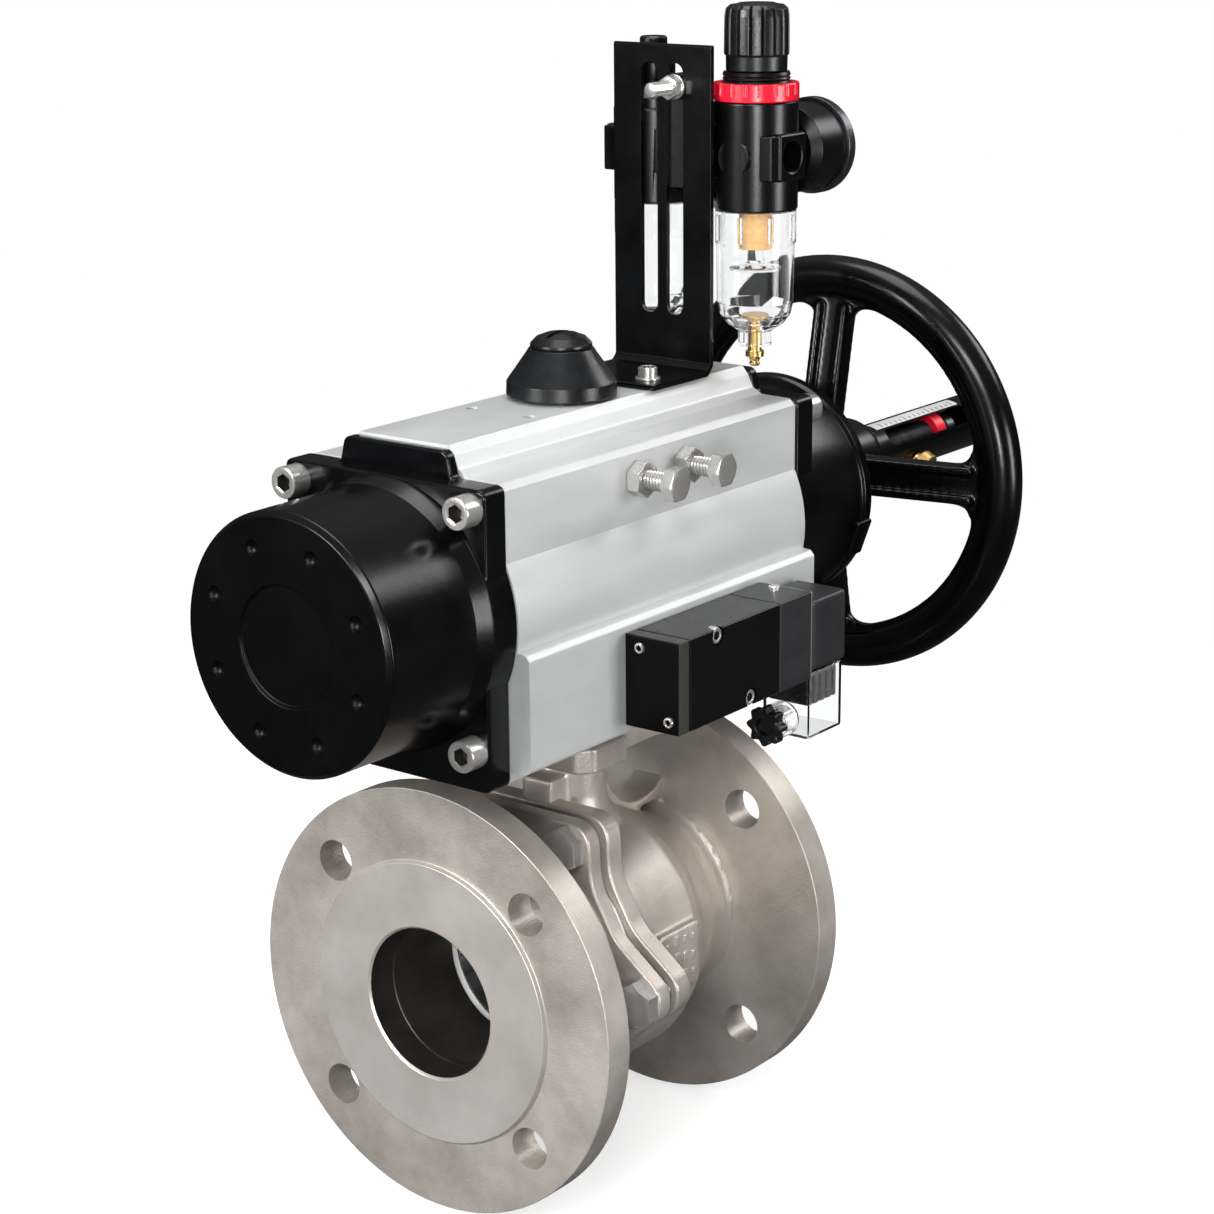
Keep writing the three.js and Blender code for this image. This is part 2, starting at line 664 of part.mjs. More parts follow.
// A compression spring along X, drawn as its round wire.
class Helix extends THREE.Curve {
  constructor(x0, x1, radius, turns) {
    super();
    Object.assign(this, { x0, x1, radius, turns });
  }

  getPoint(t, target = new THREE.Vector3()) {
    const angle = t * this.turns * 2 * Math.PI;
    const y = this.radius * Math.cos(angle);
    const z = AXIS_Z + this.radius * Math.sin(angle);
    return target.set(this.x0 + (this.x1 - this.x0) * t, y, z);
  }
}

function spring(x0, x1) {
  const wire = 2.8;
  const turns = 4;
  const section = polygon([...Array(5).keys()].map((i) => {
    const angle = (i * 2 * Math.PI) / 5;
    return [wire * Math.cos(angle), wire * Math.sin(angle)];
  }));
  const path = new Helix(x0 + wire + 1, x1 - wire - 1, 31, turns);
  return solid(new THREE.ExtrudeGeometry(section, { extrudePath: path, steps: turns * 11 }));
}

function buildActuator() {
  add("actuator_body", actuatorBody(), "aluminium");
  add("spring_cap", springCap(), "blackPaint");
  add("override_cap", overrideCap(), "blackPaint");
  screwPlaces().forEach(([y, dz], i) => {
    const headX = -BODY_HALF - CAP_FLANGE_T - 9.5;
    const made = socketScrew("x", [headX, y, AXIS_Z + dz], 6.5, 8, 3.6, 28);
    add("cap_screw_" + (i + 1), made, "bright");
  });
  add("piston_far", piston(), "alloy");
  add("piston_near", mirroredPiston(), "alloy");
  add("pinion", pinion(), "bright");
  add("position_indicator", indicator(), "blackPlastic");
  add("stop_bolt_1", stopBolt(-STOP_X), "bright");
  add("stop_bolt_2", stopBolt(STOP_X), "bright");
  add("stop_nut_1", stopNut(-STOP_X), "bright");
  add("stop_nut_2", stopNut(STOP_X), "bright");
  add("spring_near", spring(SPRING_CAP_X + CAP_WALL, -PISTON_OUT_X), "spring");
  add("spring_far", spring(PISTON_OUT_X, OVERRIDE_CAP_X - CAP_WALL), "spring");
}

// ---------- handwheel override ----------

function screwHousing() {
  return turned("x", [0, 0, AXIS_Z], [
    [OVERRIDE_CAP_X, SLEEVE_R + GAP], [OVERRIDE_CAP_X, 30], [OVERRIDE_CAP_X + 6, 30],
    [OVERRIDE_CAP_X + 9, 21], [188, 19], [188, SLEEVE_R + GAP],
  ], 32);
}

// The brass sleeve is the nut of the jackscrew: a collar inside the cap takes the thrust.
function driveSleeve() {
  const inner = OVERRIDE_CAP_X - CAP_WALL;
  return turned("x", [0, 0, AXIS_Z], [
    [inner - 6, SPINDLE_R + GAP], [inner - 6, 18], [inner - GAP, 18], [inner - GAP, SLEEVE_R],
    [226, SLEEVE_R], [226, SPINDLE_R + GAP],
  ], FINE);
}

function spindle() {
  return turned("x", [0, 0, AXIS_Z], [
    [139, 0], [139, 14], [147, 14], [147, SPINDLE_R], [314, SPINDLE_R], [316, 5], [316, 0],
  ], FINE);
}

function rim() {
  const mid = (WHEEL_R + RIM_IN_R) / 2;
  const halfR = (WHEEL_R - RIM_IN_R) / 2;
  const profile = [];
  for (let i = 0; i < 8; i++) {
    const angle = (i / 8) * 2 * Math.PI;
    profile.push([RIM_X + RIM_HALF_T * Math.cos(angle), mid + halfR * Math.sin(angle)]);
  }
  return turned("x", [0, 0, AXIS_Z], profile, ROUND);
}

// One of the four openings between the spokes.
function wheelWindow(angle) {
  const first = Math.asin(SPOKE_HALF_W / WINDOW_R);
  const last = Math.PI / 2 - first;
  const corners = [[SPOKE_HALF_W, SPOKE_HALF_W]];
  for (let i = 0; i <= 6; i++) {
    const turn = first + (i / 6) * (last - first);
    corners.push([WINDOW_R * Math.cos(turn), WINDOW_R * Math.sin(turn)]);
  }
  const opening = prism("x", roundedShape(corners, 13), RIM_X - 20, RIM_X + 20, 3);
  return opening.rotate([THREE.MathUtils.radToDeg(angle), 0, 0]).translate([0, 0, AXIS_Z]);
}

function handwheel() {
  const hub = rod("x", [192, 0, AXIS_Z], HUB_R, 34, 32);
  const edgeR = RIM_IN_R + 2;
  const edgeX = RIM_X - WEB_T / 2;
  const middleX = edgeX - WEB_DISH * edgeR;
  const slope = [[middleX, 0], [edgeX, edgeR], [edgeX + WEB_T, edgeR], [middleX + WEB_T, 0]];
  const web = turned("x", [0, 0, AXIS_Z], slope, 48);
  const windows = [0, 1, 2, 3].map((i) => wheelWindow((i * Math.PI) / 2));
  const bore = rod("x", [180, 0, AXIS_Z], SLEEVE_R + GAP, 60, FINE);
  return cut(join(rim(), hub, cut(web, ...windows)), bore);
}

const WINDOW_ANGLE = 39;
const THUMB_ANGLE = -30;
const THUMB_X = 266.5;

// A direction square to X, at an angle above the -Y side.
function outwards(degrees) {
  const angle = THREE.MathUtils.degToRad(degrees);
  return new THREE.Vector3(0, -Math.cos(angle), Math.sin(angle));
}

function indicatorTube() {
  const wallR = 11.5;
  const shell = turned("x", [0, 0, AXIS_Z], [
    [226, 0], [226, TUBE_R], [TUBE_END_X - 1, TUBE_R], [TUBE_END_X, TUBE_R - 1], [TUBE_END_X, 0],
  ], 32);
  const inside = rod("x", [225, 0, AXIS_Z], wallR, TUBE_END_X - 229, 32);
  const window = prism("z", slot(0, 243, 321, 5), 0, 20).rotate([0, 0, -90]).rotate([90 - WINDOW_ANGLE, 0, 0]);
  const screwHole = rod(outwards(THUMB_ANGLE), [THUMB_X, 0, AXIS_Z], 2.6, 20, 10);
  return cut(shell, inside, window.translate([0, 0, AXIS_Z]), screwHole);
}

function travelRing() {
  return ring("x", [291, 0, AXIS_Z], 11.1, SPINDLE_R + GAP, 8, FINE);
}

function thumbScrew() {
  const axis = outwards(THUMB_ANGLE);
  const at = (radius) => new THREE.Vector3(THUMB_X, 0, AXIS_Z).addScaledVector(axis, radius).toArray();
  return join(
    rod(axis, at(11.6), 2.2, 3.9, 8),
    rod(axis, at(TUBE_R + GAP), 4.5, 2.6, 16),
    rod(axis, at(TUBE_R + 2.5), 8, 5.5, 24),
  );
}

function buildOverride() {
  add("screw_housing", screwHousing(), "blackPaint");
  add("drive_sleeve", driveSleeve(), "brass");
  add("override_spindle", spindle(), "bright");
  add("handwheel", handwheel(), "blackPaint");
  add("indicator_tube", indicatorTube(), "blackPaint");
  add("travel_ring", travelRing(), "red");
  add("thumb_screw", thumbScrew(), "brass");
}

// ---------- solenoid valve ----------

function block(x0, x1) {
  return box(x0, x1, SOL_FRONT_Y, NAMUR_Y - GAP, SOL_LOW_Z, SOL_TOP_Z);
}

const SPOOL_R = 6;

function spoolBlock() {
  const bore = rod("x", [-40, SOL_MID_Y, SOL_MID_Z], SPOOL_R + GAP, 80, FINE);
  const holes = [[-12, SOL_TOP_Z - 3.2], [12, SOL_LOW_Z + 3.2]].map(([x, z]) => rod("y", [x, -100, z], 2.7, 60));
  return cut(block(-31.5, 33), bore, ...holes);
}

function spool() {
  return turned("x", [0, SOL_MID_Y, SOL_MID_Z], [
    [-27, 0], [-27, 6], [-18, 6], [-18, 4], [-10, 4], [-10, 6], [-2, 6], [-2, 4], [6, 4], [6, 6],
    [14, 6], [14, 4], [20, 4], [20, 6], [27, 6], [27, 0],
  ], FINE);
}

const BUTTON = [49.5, -74];

function pilotBlock() {
  const buttonHole = rod("z", [...BUTTON, SOL_TOP_Z - 6], 2.8, 8);
  return cut(block(33 + GAP, 57), buttonHole);
}

function overrideButton() {
  return rod("z", [...BUTTON, SOL_TOP_Z - 4], 2.5, 6, 12);
}

function coil() {
  const shell = box(58.5, 83.8, SOL_FRONT_Y, SOL_FRONT_Y + 26, 121.4, 152.9);
  const core = rod("x", [57 + GAP, SOL_MID_Y, SOL_MID_Z], 6.5, 30, FINE);
  return join(shell, core);
}

const GLAND_Z = 99;
const GLAND_X = 40.8;
const GLAND_T = 6;

function plugHousing() {
  const shell = box(57.3, 83, SOL_FRONT_Y + 1, SOL_FRONT_Y + 25, 91, 121.4 - GAP);
  const hollow = box(59.3, 81, SOL_FRONT_Y + 3, SOL_FRONT_Y + 23, 93, 117);
  const neckX = GLAND_X + GLAND_T + GAP;
  const neck = rod("x", [neckX, SOL_MID_Y, GLAND_Z], 7.6, 58 - neckX, FINE);
  const wire = rod("x", [neckX - 1, SOL_MID_Y, GLAND_Z], 5.2, 62 - neckX, FINE);
  const mouth = box(61, 77, SOL_FRONT_Y + 5, SOL_FRONT_Y + 21, 112, 125);
  return cut(join(shell, neck), hollow, wire, mouth);
}

function glandNut() {
  const outline = polar(32, (angle) => 8.3 + 0.7 * Math.cos(8 * angle));
  const nut = prism("x", outline, GLAND_X, GLAND_X + GLAND_T).translate([0, SOL_MID_Y, GLAND_Z]);
  return cut(nut, rod("x", [GLAND_X - 1, SOL_MID_Y, GLAND_Z], 4, GLAND_T + 2, SMALL));
}

function buildSolenoid() {
  add("solenoid_end_plate", block(-39.2, -31.5 - GAP), "blackPaint");
  add("solenoid_block", spoolBlock(), "blackPaint");
  add("spool", spool(), "alloy");
  add("pilot_block", pilotBlock(), "blackPaint");
  add("override_button", overrideButton(), "bright");
  add("solenoid_coil", coil(), "blackPlastic");
  add("plug_housing", plugHousing(), "clear");
  add("gland_nut", glandNut(), "blackPlastic");
}

// ---------- bracket and air preparation set ----------

const FOOT_X = 29.5;

function bracket() {
  const back = BRACKET_X + BRACKET_T;
  const side = polygon([
    [FOOT_X, TOP_Z], [back - 4, TOP_Z], [back, TOP_Z + 4], [back, BRACKET_TOP_Z],
    [BRACKET_X, BRACKET_TOP_Z], [BRACKET_X, TOP_Z + 5], [BRACKET_X - 2.5, TOP_Z + BRACKET_T],
    [FOOT_X, TOP_Z + BRACKET_T],
  ]);
  const sheet = prism("y", side, -BRACKET_HALF_W, BRACKET_HALF_W);
  const slots = [-6.75, 6.75].map((y) => prism("x", slot(y, 265.5, 372.5, 4.3), 60, 80));
  const holes = [15, -15].map((y) => rod("z", [40, y, 235], 2.9, 20));
  return cut(sheet, ...slots, ...holes);
}

const CLAMP_Y = (REG_Y + LUB_Y) / 2;

// The T-shaped clamp holds the two units together and stands them off the bracket.
function manifoldClamp() {
  const half = (LUB_Y - REG_Y) / 2 - PORT_HALF - GAP;
  const spacer = box(UNIT_X - 11, UNIT_X + 11, CLAMP_Y - half, CLAMP_Y + half, PORT_Z - 12, PORT_Z + 12);
  const arm = box(BRACKET_X + BRACKET_T, UNIT_X - 9, CLAMP_Y - 4, CLAMP_Y + 4, PORT_Z - 10, PORT_Z + 34);
  const wall = box(BRACKET_X + BRACKET_T, BRACKET_X + BRACKET_T + 3, CLAMP_Y - 6, CLAMP_Y + 6, PORT_Z - 14, 368);
  const airway = rod("y", [UNIT_X, CLAMP_Y - 20, PORT_Z], 5, 40);
  return cut(join(spacer, arm, wall), airway);
}

function unitBody(y, topZ, radius) {
  const barrel = rod("z", [UNIT_X, y, UNIT_LOW_Z], radius, topZ - UNIT_LOW_Z, 32);
  const ports = box(UNIT_X - 10, UNIT_X + 10, y - PORT_HALF, y + PORT_HALF, PORT_Z - 10, PORT_Z + 10);
  return join(barrel, ports);
}

function regulatorBody() {
  const gaugeBoss = rod("x", [UNIT_X, REG_Y, GAUGE_Z], 9, GAUGE_STEM_X - UNIT_X, FINE);
  const blankBoss = rod("x", [BRACKET_X + 4, REG_Y, PORT_Z], 8.5, 20, FINE);
  const bonnet = rod("z", [UNIT_X, REG_Y, 356], 14.5, 13, FINE);
  const post = rod("z", [UNIT_X, REG_Y, 368], 8, 17, FINE);
  const screwHole = rod("z", [UNIT_X, REG_Y, 372], 3, 20);
  const ports = rod("y", [UNIT_X, REG_Y - PORT_HALF - 1, PORT_Z], 5.7, 2 * PORT_HALF + 2);
  const below = rod("z", [UNIT_X, REG_Y, UNIT_LOW_Z - 1], 8, 24, FINE);
  return cut(join(unitBody(REG_Y, 357, 18), gaugeBoss, blankBoss, bonnet, post), ports, below, screwHole);
}

function lockRing() {
  const ringSolid = ring("z", [UNIT_X, REG_Y, 357], 18.2, 14.5 + GAP, 7.6, 32);
  const notches = [];
  for (let i = 0; i < 12; i++) {
    const angle = (i * Math.PI) / 6;
    notches.push(rod("z", [UNIT_X + 19 * Math.cos(angle), REG_Y + 19 * Math.sin(angle), 356], 1.8, 10, 8));
  }
  return cut(ringSolid, ...notches);
}

// The knob lifts to unlock on the screw's hexagon, and turning the knob turns the screw.
function adjustingScrew() {
  const shank = rod("z", [UNIT_X, REG_Y, 373], 2.7, 13);
  return join(shank, rod("z", [UNIT_X, REG_Y, 385 + GAP], 5.5, 4, 6));
}

function regulatorKnob() {
  const shell = turned("z", [UNIT_X, REG_Y, 0], [
    [369.4, 9.5], [369.4, 13.3], [376, 13.3], [376, 13.85], [395, 13.6], [396.8, 11], [397.4, 0],
    [392, 0], [392, 9.5],
  ], 32);
  const cuts = [];
  for (let i = 0; i < 16; i++) {
    const angle = (i * 2 * Math.PI) / 16;
    cuts.push(rod("z", [UNIT_X + 14.7 * Math.cos(angle), REG_Y + 14.7 * Math.sin(angle), 376.2], 1.4, 30, 5));
  }
  return cut(shell, ...cuts);
}

// Bowls hang below the bodies: a round tube with a domed floor and a drain boss.
function bowl(y) {
  return turned("z", [UNIT_X, y, 0], [
    [252, 3.4], [252, 7.2], [258.5, 7.2], [259.5, 9], [264, 14.5], [270, 16.4], [296, 16.6], [296, 17.2],
    [UNIT_LOW_Z - GAP, 17.2], [UNIT_LOW_Z - GAP, 15], [270, 14.6], [264, 12], [261.5, 8], [261.5, 3.4],
  ], 22);
}

function filterElement() {
  return turned("z", [UNIT_X, REG_Y, 0], [
    [285, 0], [285, 11], [286.5, 11], [288, 4], [294, 4], [294, 7.2], [320, 7.2], [320, 0],
  ], FINE);
}

function drainCock() {
  return turned("z", [UNIT_X, REG_Y, 0], [
    [242.8, 0], [242.8, 1.8], [244, 2.5], [245, 1.9], [246, 2.5], [247, 1.9], [247, 4], [249.5, 4],
    [249.5, 3], [263, 3], [263, 6], [265, 6], [265, 0],
  ], FINE);
}

function gaugeCase() {
  return turned("x", [0, REG_Y, GAUGE_Z], [
    [GAUGE_STEM_X + GAP, 0], [GAUGE_STEM_X + GAP, 6], [113, 6], [113, 15], [115, 19], [133.5, 19.6], [133.5, 21],
    [139, 21], [139, 18.6], [127, 18.6], [127, 0],
  ], 36);
}

function gaugeNeedle() {
  const hub = rod("x", [127 + GAP, REG_Y, GAUGE_Z], 2.2, 5, 12);
  const pointer = prism("x", polygon([[-0.9, -5], [0.9, -5], [0.9, 0], [0.3, 14], [-0.3, 14], [-0.9, 0]]), 130, 131.2);
  const zeroTurn = -135;
  return join(hub, pointer.rotate([zeroTurn, 0, 0]).translate([0, REG_Y, GAUGE_Z]));
}

function lubricatorBody() {
  const dome = turned("z", [UNIT_X, LUB_Y, 0], [[350, 0], [350, 14], [356, 14], [360, 9.5], [371.5, 9.5], [371.5, 0]], FINE);
  const ports = rod("y", [UNIT_X, LUB_Y - PORT_HALF - 1, PORT_Z], 5.7, 2 * PORT_HALF + 2);
  const below = rod("z", [UNIT_X, LUB_Y, UNIT_LOW_Z - 1], 8, 24, FINE);
  return cut(join(unitBody(LUB_Y, 352, 17.5), dome), ports, below);
}

function feedKnob() {
  return turned("z", [UNIT_X, LUB_Y, 0], [
    [371.5 + GAP, 0], [371.5 + GAP, 6], [380.9, 6], [381.7, 5.2], [381.7, 0],
  ], 20);
}

function buildAirSet() {
  add("air_set_bracket", bracket(), "blackPaint");
  add("manifold_clamp", manifoldClamp(), "blackPaint");
  add("regulator_body", regulatorBody(), "blackPaint");
  add("lock_ring", lockRing(), "red");
  add("adjusting_screw", adjustingScrew(), "bright");
  add("regulator_knob", regulatorKnob(), "blackPlastic");
  add("filter_bowl", bowl(REG_Y), "clear");
  add("filter_element", filterElement(), "filter");
  add("drain_cock", drainCock(), "brass");
  add("gauge_case", gaugeCase(), "blackPaint");
  add("gauge_needle", gaugeNeedle(), "red");
  add("lubricator_body", lubricatorBody(), "blackPaint");
  add("lubricator_bowl", bowl(LUB_Y), "clear");
  add("feed_knob", feedKnob(), "blackPlastic");
}

buildValve();
buildActuator();
buildOverride();
buildSolenoid();
buildAirSet();

export default valve;
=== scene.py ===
import json
from math import acos, asin, atan2, cos, hypot, pi, radians, sin, tan

import bmesh
import bpy
from mathutils import Matrix, Vector


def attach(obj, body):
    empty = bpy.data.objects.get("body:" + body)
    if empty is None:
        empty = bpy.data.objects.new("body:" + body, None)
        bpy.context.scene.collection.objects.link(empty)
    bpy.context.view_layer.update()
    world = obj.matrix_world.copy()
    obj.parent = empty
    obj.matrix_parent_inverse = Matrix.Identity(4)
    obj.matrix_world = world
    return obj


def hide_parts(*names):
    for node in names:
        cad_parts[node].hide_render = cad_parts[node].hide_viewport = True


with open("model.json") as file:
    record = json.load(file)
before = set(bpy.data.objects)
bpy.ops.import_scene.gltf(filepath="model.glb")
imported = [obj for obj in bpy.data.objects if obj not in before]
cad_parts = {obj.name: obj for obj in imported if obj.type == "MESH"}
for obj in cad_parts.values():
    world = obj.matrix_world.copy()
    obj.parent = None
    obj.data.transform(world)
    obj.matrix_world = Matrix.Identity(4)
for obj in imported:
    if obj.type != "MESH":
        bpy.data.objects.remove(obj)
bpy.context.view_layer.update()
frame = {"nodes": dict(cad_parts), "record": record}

# All lengths below are in millimetres. MM turns them into metres.
MM = 0.001
AXIS_Z = 172.5
MIDDLE = (0, 0, AXIS_Z)
AXES = {"x": Vector((1, 0, 0)), "y": Vector((0, 1, 0)), "z": Vector((0, 0, 1))}


# ---------- materials ----------

def tune(node, **values):
    """Sets a node's sockets. An underscore stands for a space in the socket's name."""
    for key, value in values.items():
        node.inputs[key.replace("_", " ")].default_value = value
    return node


def add(tree, kind, **values):
    return tune(tree.nodes.new("ShaderNode" + kind), **values)


def material(name, dark, light, rough, metal=0.0, grain=(900, 0.05), cloud=60, rings=None, streak=None,
             clear=0.0, ior=1.5, gloss=0.5):
    """Procedural finish: cloudy colour from dark to light, roughness that varies, and a fine bump."""
    mat = bpy.data.materials.new(name)
    mat.use_nodes = True
    tree = mat.node_tree
    shader = tree.nodes["Principled BSDF"]
    link = tree.links.new

    spot = add(tree, "TexCoord").outputs["Object"]
    clouds = add(tree, "TexNoise", Scale=cloud, Detail=5.0, Roughness=0.6)
    if streak:
        stretch = add(tree, "Mapping", Scale=streak)
        link(spot, stretch.inputs["Vector"])
        link(stretch.outputs["Vector"], clouds.inputs["Vector"])
    else:
        link(spot, clouds.inputs["Vector"])
    ramp = add(tree, "ValToRGB")
    first, last = ramp.color_ramp.elements
    first.position, first.color = 0.32, (*dark, 1)
    last.position, last.color = 0.68, (*light, 1)
    link(clouds.outputs["Fac"], ramp.inputs["Fac"])
    link(ramp.outputs["Color"], shader.inputs["Base Color"])
    spread = add(tree, "MapRange", To_Min=rough * 0.75, To_Max=min(1.0, rough * 1.3))
    link(clouds.outputs["Fac"], spread.inputs["Value"])
    link(spread.outputs["Result"], shader.inputs["Roughness"])
    fine = add(tree, "TexNoise", Scale=float(grain[0]), Detail=4.0)
    link(spot, fine.inputs["Vector"])
    bump = add(tree, "Bump", Strength=grain[1], Distance=0.0006)
    link(fine.outputs["Fac"], bump.inputs["Height"])
    if rings:
        wave = add(tree, "TexWave", Scale=rings, Distortion=0.4)
        wave.wave_type = "RINGS"
        wave.rings_direction = "X"
        link(spot, wave.inputs["Vector"])
        tool = add(tree, "Bump", Strength=0.10, Distance=0.0003)
        link(wave.outputs["Fac"], tool.inputs["Height"])
        link(tool.outputs["Normal"], bump.inputs["Normal"])
    link(bump.outputs["Normal"], shader.inputs["Normal"])
    tune(shader, Metallic=metal, IOR=ior, Transmission_Weight=clear, Specular_IOR_Level=gloss)
    return mat


CAST = material("cast_steel", (0.35, 0.31, 0.275), (0.52, 0.475, 0.43), 0.38, 0.6, (1100, 0.30), 30)
MACHINED = material("machined_steel", (0.44, 0.405, 0.37), (0.55, 0.515, 0.475), 0.34, 0.6,
    (1500, 0.08), 22, rings=340)
# Near-black steel, far darker than the cast steel: painted shade for bores, seat pockets and screw sockets.
PAINTED_SHADE_STEEL = material("steel_painted_shade", (0.05, 0.046, 0.042), (0.085, 0.078, 0.072), 0.34, 0.8, (1200, 0.12), 40)
POLISHED = material("polished_steel", (0.62, 0.62, 0.62), (0.74, 0.74, 0.74), 0.08, 1.0, (700, 0.01))
BRIGHT = material("fastener_steel", (0.50, 0.49, 0.47), (0.62, 0.61, 0.59), 0.24, 0.8, (1300, 0.03), 90)
ALUMINIUM = material("anodised_aluminium", (0.48, 0.49, 0.488), (0.58, 0.59, 0.588), 0.42, 0.5,
    (2600, 0.22), 26, streak=(0.25, 1, 1))
TURNED = material("turned_aluminium", (0.46, 0.47, 0.48), (0.56, 0.57, 0.58), 0.35, 0.7, (900, 0.06))
PAINT = material("black_coating", (0.0005, 0.0006, 0.0008), (0.0012, 0.0014, 0.0017), 0.22, 0.0,
    (330, 0.06), 50, gloss=0.24)
SATIN = material("satin_black", (0.0006, 0.0006, 0.0007), (0.0014, 0.0015, 0.0017), 0.27, 0.0,
    (1500, 0.03), 30, gloss=0.26)
# Olive grey, lighter than the black: painted sheen on the solenoid end cover's −y side.
SHEEN_OLIVE = material("painted_sheen_olive", (0.030, 0.031, 0.024), (0.042, 0.043, 0.034), 0.34, 0.2, (1500, 0.05),
    120, gloss=0.3)
# A darker, duller black than the coating: painted shade on faces that look towards −x.
SHADE_BLACK = material("painted_shade_black", (0.0005, 0.0005, 0.0006), (0.001, 0.001, 0.0011), 0.34, 0.0, (900, 0.03),
    40, gloss=0.1)
GREY = material("dark_grey_moulding", (0.014, 0.0145, 0.016), (0.019, 0.0195, 0.021), 0.36, 0.0,
    (1700, 0.06), 80, gloss=0.3)
PLASTIC = material("black_moulding", (0.0020, 0.0023, 0.0027), (0.0045, 0.0050, 0.0056), 0.28, 0.0,
    (1700, 0.12), 80, gloss=0.34)
SPRING = material("dark_spring", (0.10, 0.11, 0.12), (0.16, 0.17, 0.18), 0.35, 0.9, (900, 0.08))
OILED = material("oiled_thread", (0.05, 0.052, 0.055), (0.10, 0.104, 0.11), 0.30, 0.9, (1200, 0.10), 160)
BRASS = material("brass", (0.46, 0.29, 0.10), (0.62, 0.41, 0.17), 0.29, 1.0, (1100, 0.08), 110)
RED = material("red_moulding", (0.50, 0.004, 0.018), (0.66, 0.008, 0.028), 0.26, 0.0, (900, 0.05),
    gloss=0.45)
WHITE = material("white_ptfe", (0.80, 0.79, 0.76), (0.88, 0.87, 0.85), 0.38, 0.0, (900, 0.04))
# Mid grey: a pale label drawn darker as painted shade. The scale label and the gauge dial use it.
LABEL_IN_PAINTED_SHADE = material("label", (0.46, 0.46, 0.45), (0.56, 0.56, 0.55), 0.32, 0.0, (700, 0.02))
CLEAR = material("clear_moulding", (0.95, 0.96, 0.965), (0.98, 0.985, 0.985), 0.035, 0.0, (260, 0.03),
    clear=1.0, ior=1.33)
FILTER = material("sintered_bronze", (0.55, 0.30, 0.11), (0.74, 0.46, 0.20), 0.70, 0.15, (1900, 0.5), 260)
INK = material("dial_ink", (0.010, 0.010, 0.012), (0.018, 0.018, 0.020), 0.50)

FOR_SLOT = {
    "cast_stainless": CAST, "polished_stainless": POLISHED, "plated_steel": BRIGHT, "white_ptfe": WHITE,
    "anodised_aluminium": ALUMINIUM, "machined_aluminium": TURNED, "black_paint": PAINT,
    "black_plastic": PLASTIC, "spring_steel": SPRING, "brass": BRASS, "red_plastic": RED,
    "clear_plastic": CLEAR, "filter_bronze": FILTER,
}


# ---------- mesh helpers, all in millimetres ----------

def basis(axis):
    """Two directions square to the axis, and the axis."""
    along = AXES[axis] if isinstance(axis, str) else Vector(axis).normalized()
    if axis == "x":
        return AXES["y"], AXES["z"], along
    if axis == "y":
        return AXES["x"], AXES["z"], along
    if axis == "z":
        return AXES["x"], AXES["y"], along
    helper = AXES["z"] if abs(along.x) > 0.9 else AXES["x"]
    first = along.cross(helper).normalized()
    return first, along.cross(first), along


def show(name, data):
    """Makes an object of the data and puts it in the scene."""
    made = bpy.data.objects.new(name, data)
    bpy.context.scene.collection.objects.link(made)
    return made


def mesh(name, points, faces, mat):
    data = bpy.data.meshes.new(name)
    data.from_pydata([Vector(p) * MM for p in points], [], faces)
    data.validate()
    work = bmesh.new()
    work.from_mesh(data)
    bmesh.ops.remove_doubles(work, verts=work.verts, dist=1e-7)
    bmesh.ops.recalc_face_normals(work, faces=work.faces)
    work.to_mesh(data)
    work.free()
    data.materials.append(mat)
    return show(name, data)


def rounded(points, radius, closed=True, steps=4):
    """The outline with each corner turned into an arc, as far as its sides allow."""
    out = []
    count = len(points)
    for i, point in enumerate(points):
        here = Vector(point)
        if not closed and i in (0, count - 1):
            out.append(tuple(here))
            continue
        before = Vector(points[i - 1]) - here
        after = Vector(points[(i + 1) % count]) - here
        if before.length < 1e-6 or after.length < 1e-6:
            continue
        turn = before.angle(after, pi)
        if turn > radians(172) or turn < radians(4):
            out.append(tuple(here))
            continue
        reach = min(radius / tan(turn / 2), before.length * 0.45, after.length * 0.45)
        start = here + before.normalized() * reach
        end = here + after.normalized() * reach
        for k in range(steps + 1):
            t = k / steps
            out.append(tuple(start.lerp(here, t).lerp(here.lerp(end, t), t)))
    return out


def lathe(name, mat, axis, centre, profile, segments=96, soften=0.4):
    """A turned piece. The profile's pairs are (distance along the axis, radius)."""
    first, second, along = basis(axis)
    open_ended = profile[0][1] == 0 and profile[-1][1] == 0
    line = rounded(profile, soften, closed=not open_ended) if soften else profile
    centre = Vector(centre)
    points, rows = [], []
    for distance, radius in line:
        if radius < 1e-6:
            rows.append([len(points)] * segments)
            points.append(centre + along * distance)
            continue
        row = []
        for k in range(segments):
            angle = 2 * pi * k / segments
            row.append(len(points))
            spoke = first * cos(angle) + second * sin(angle)
            points.append(centre + along * distance + spoke * radius)
        rows.append(row)
    faces = []
    pairs = list(zip(rows, rows[1:]))
    if not open_ended:
        pairs.append((rows[-1], rows[0]))
    for a, b in pairs:
        for k in range(segments):
            n = (k + 1) % segments
            face = list(dict.fromkeys((a[k], a[n], b[n], b[k])))
            if len(face) > 2:
                faces.append(face)
    return mesh(name, points, faces, mat)


def quads(a, b):
    """The faces between two rings of points."""
    count = len(a)
    return [[a[k], a[(k + 1) % count], b[(k + 1) % count], b[k]] for k in range(count)]


def skin(name, points, rings, mat, looped=False):
    """Joins rings of points, then closes the form with two end faces or back to its first ring."""
    pairs = list(zip(rings, rings[1:]))
    if looped:
        pairs.append((rings[-1], rings[0]))
    faces = [face for a, b in pairs for face in quads(a, b)]
    if not looped:
        faces += [rings[0][::-1], rings[-1]]
    return mesh(name, points, faces, mat)


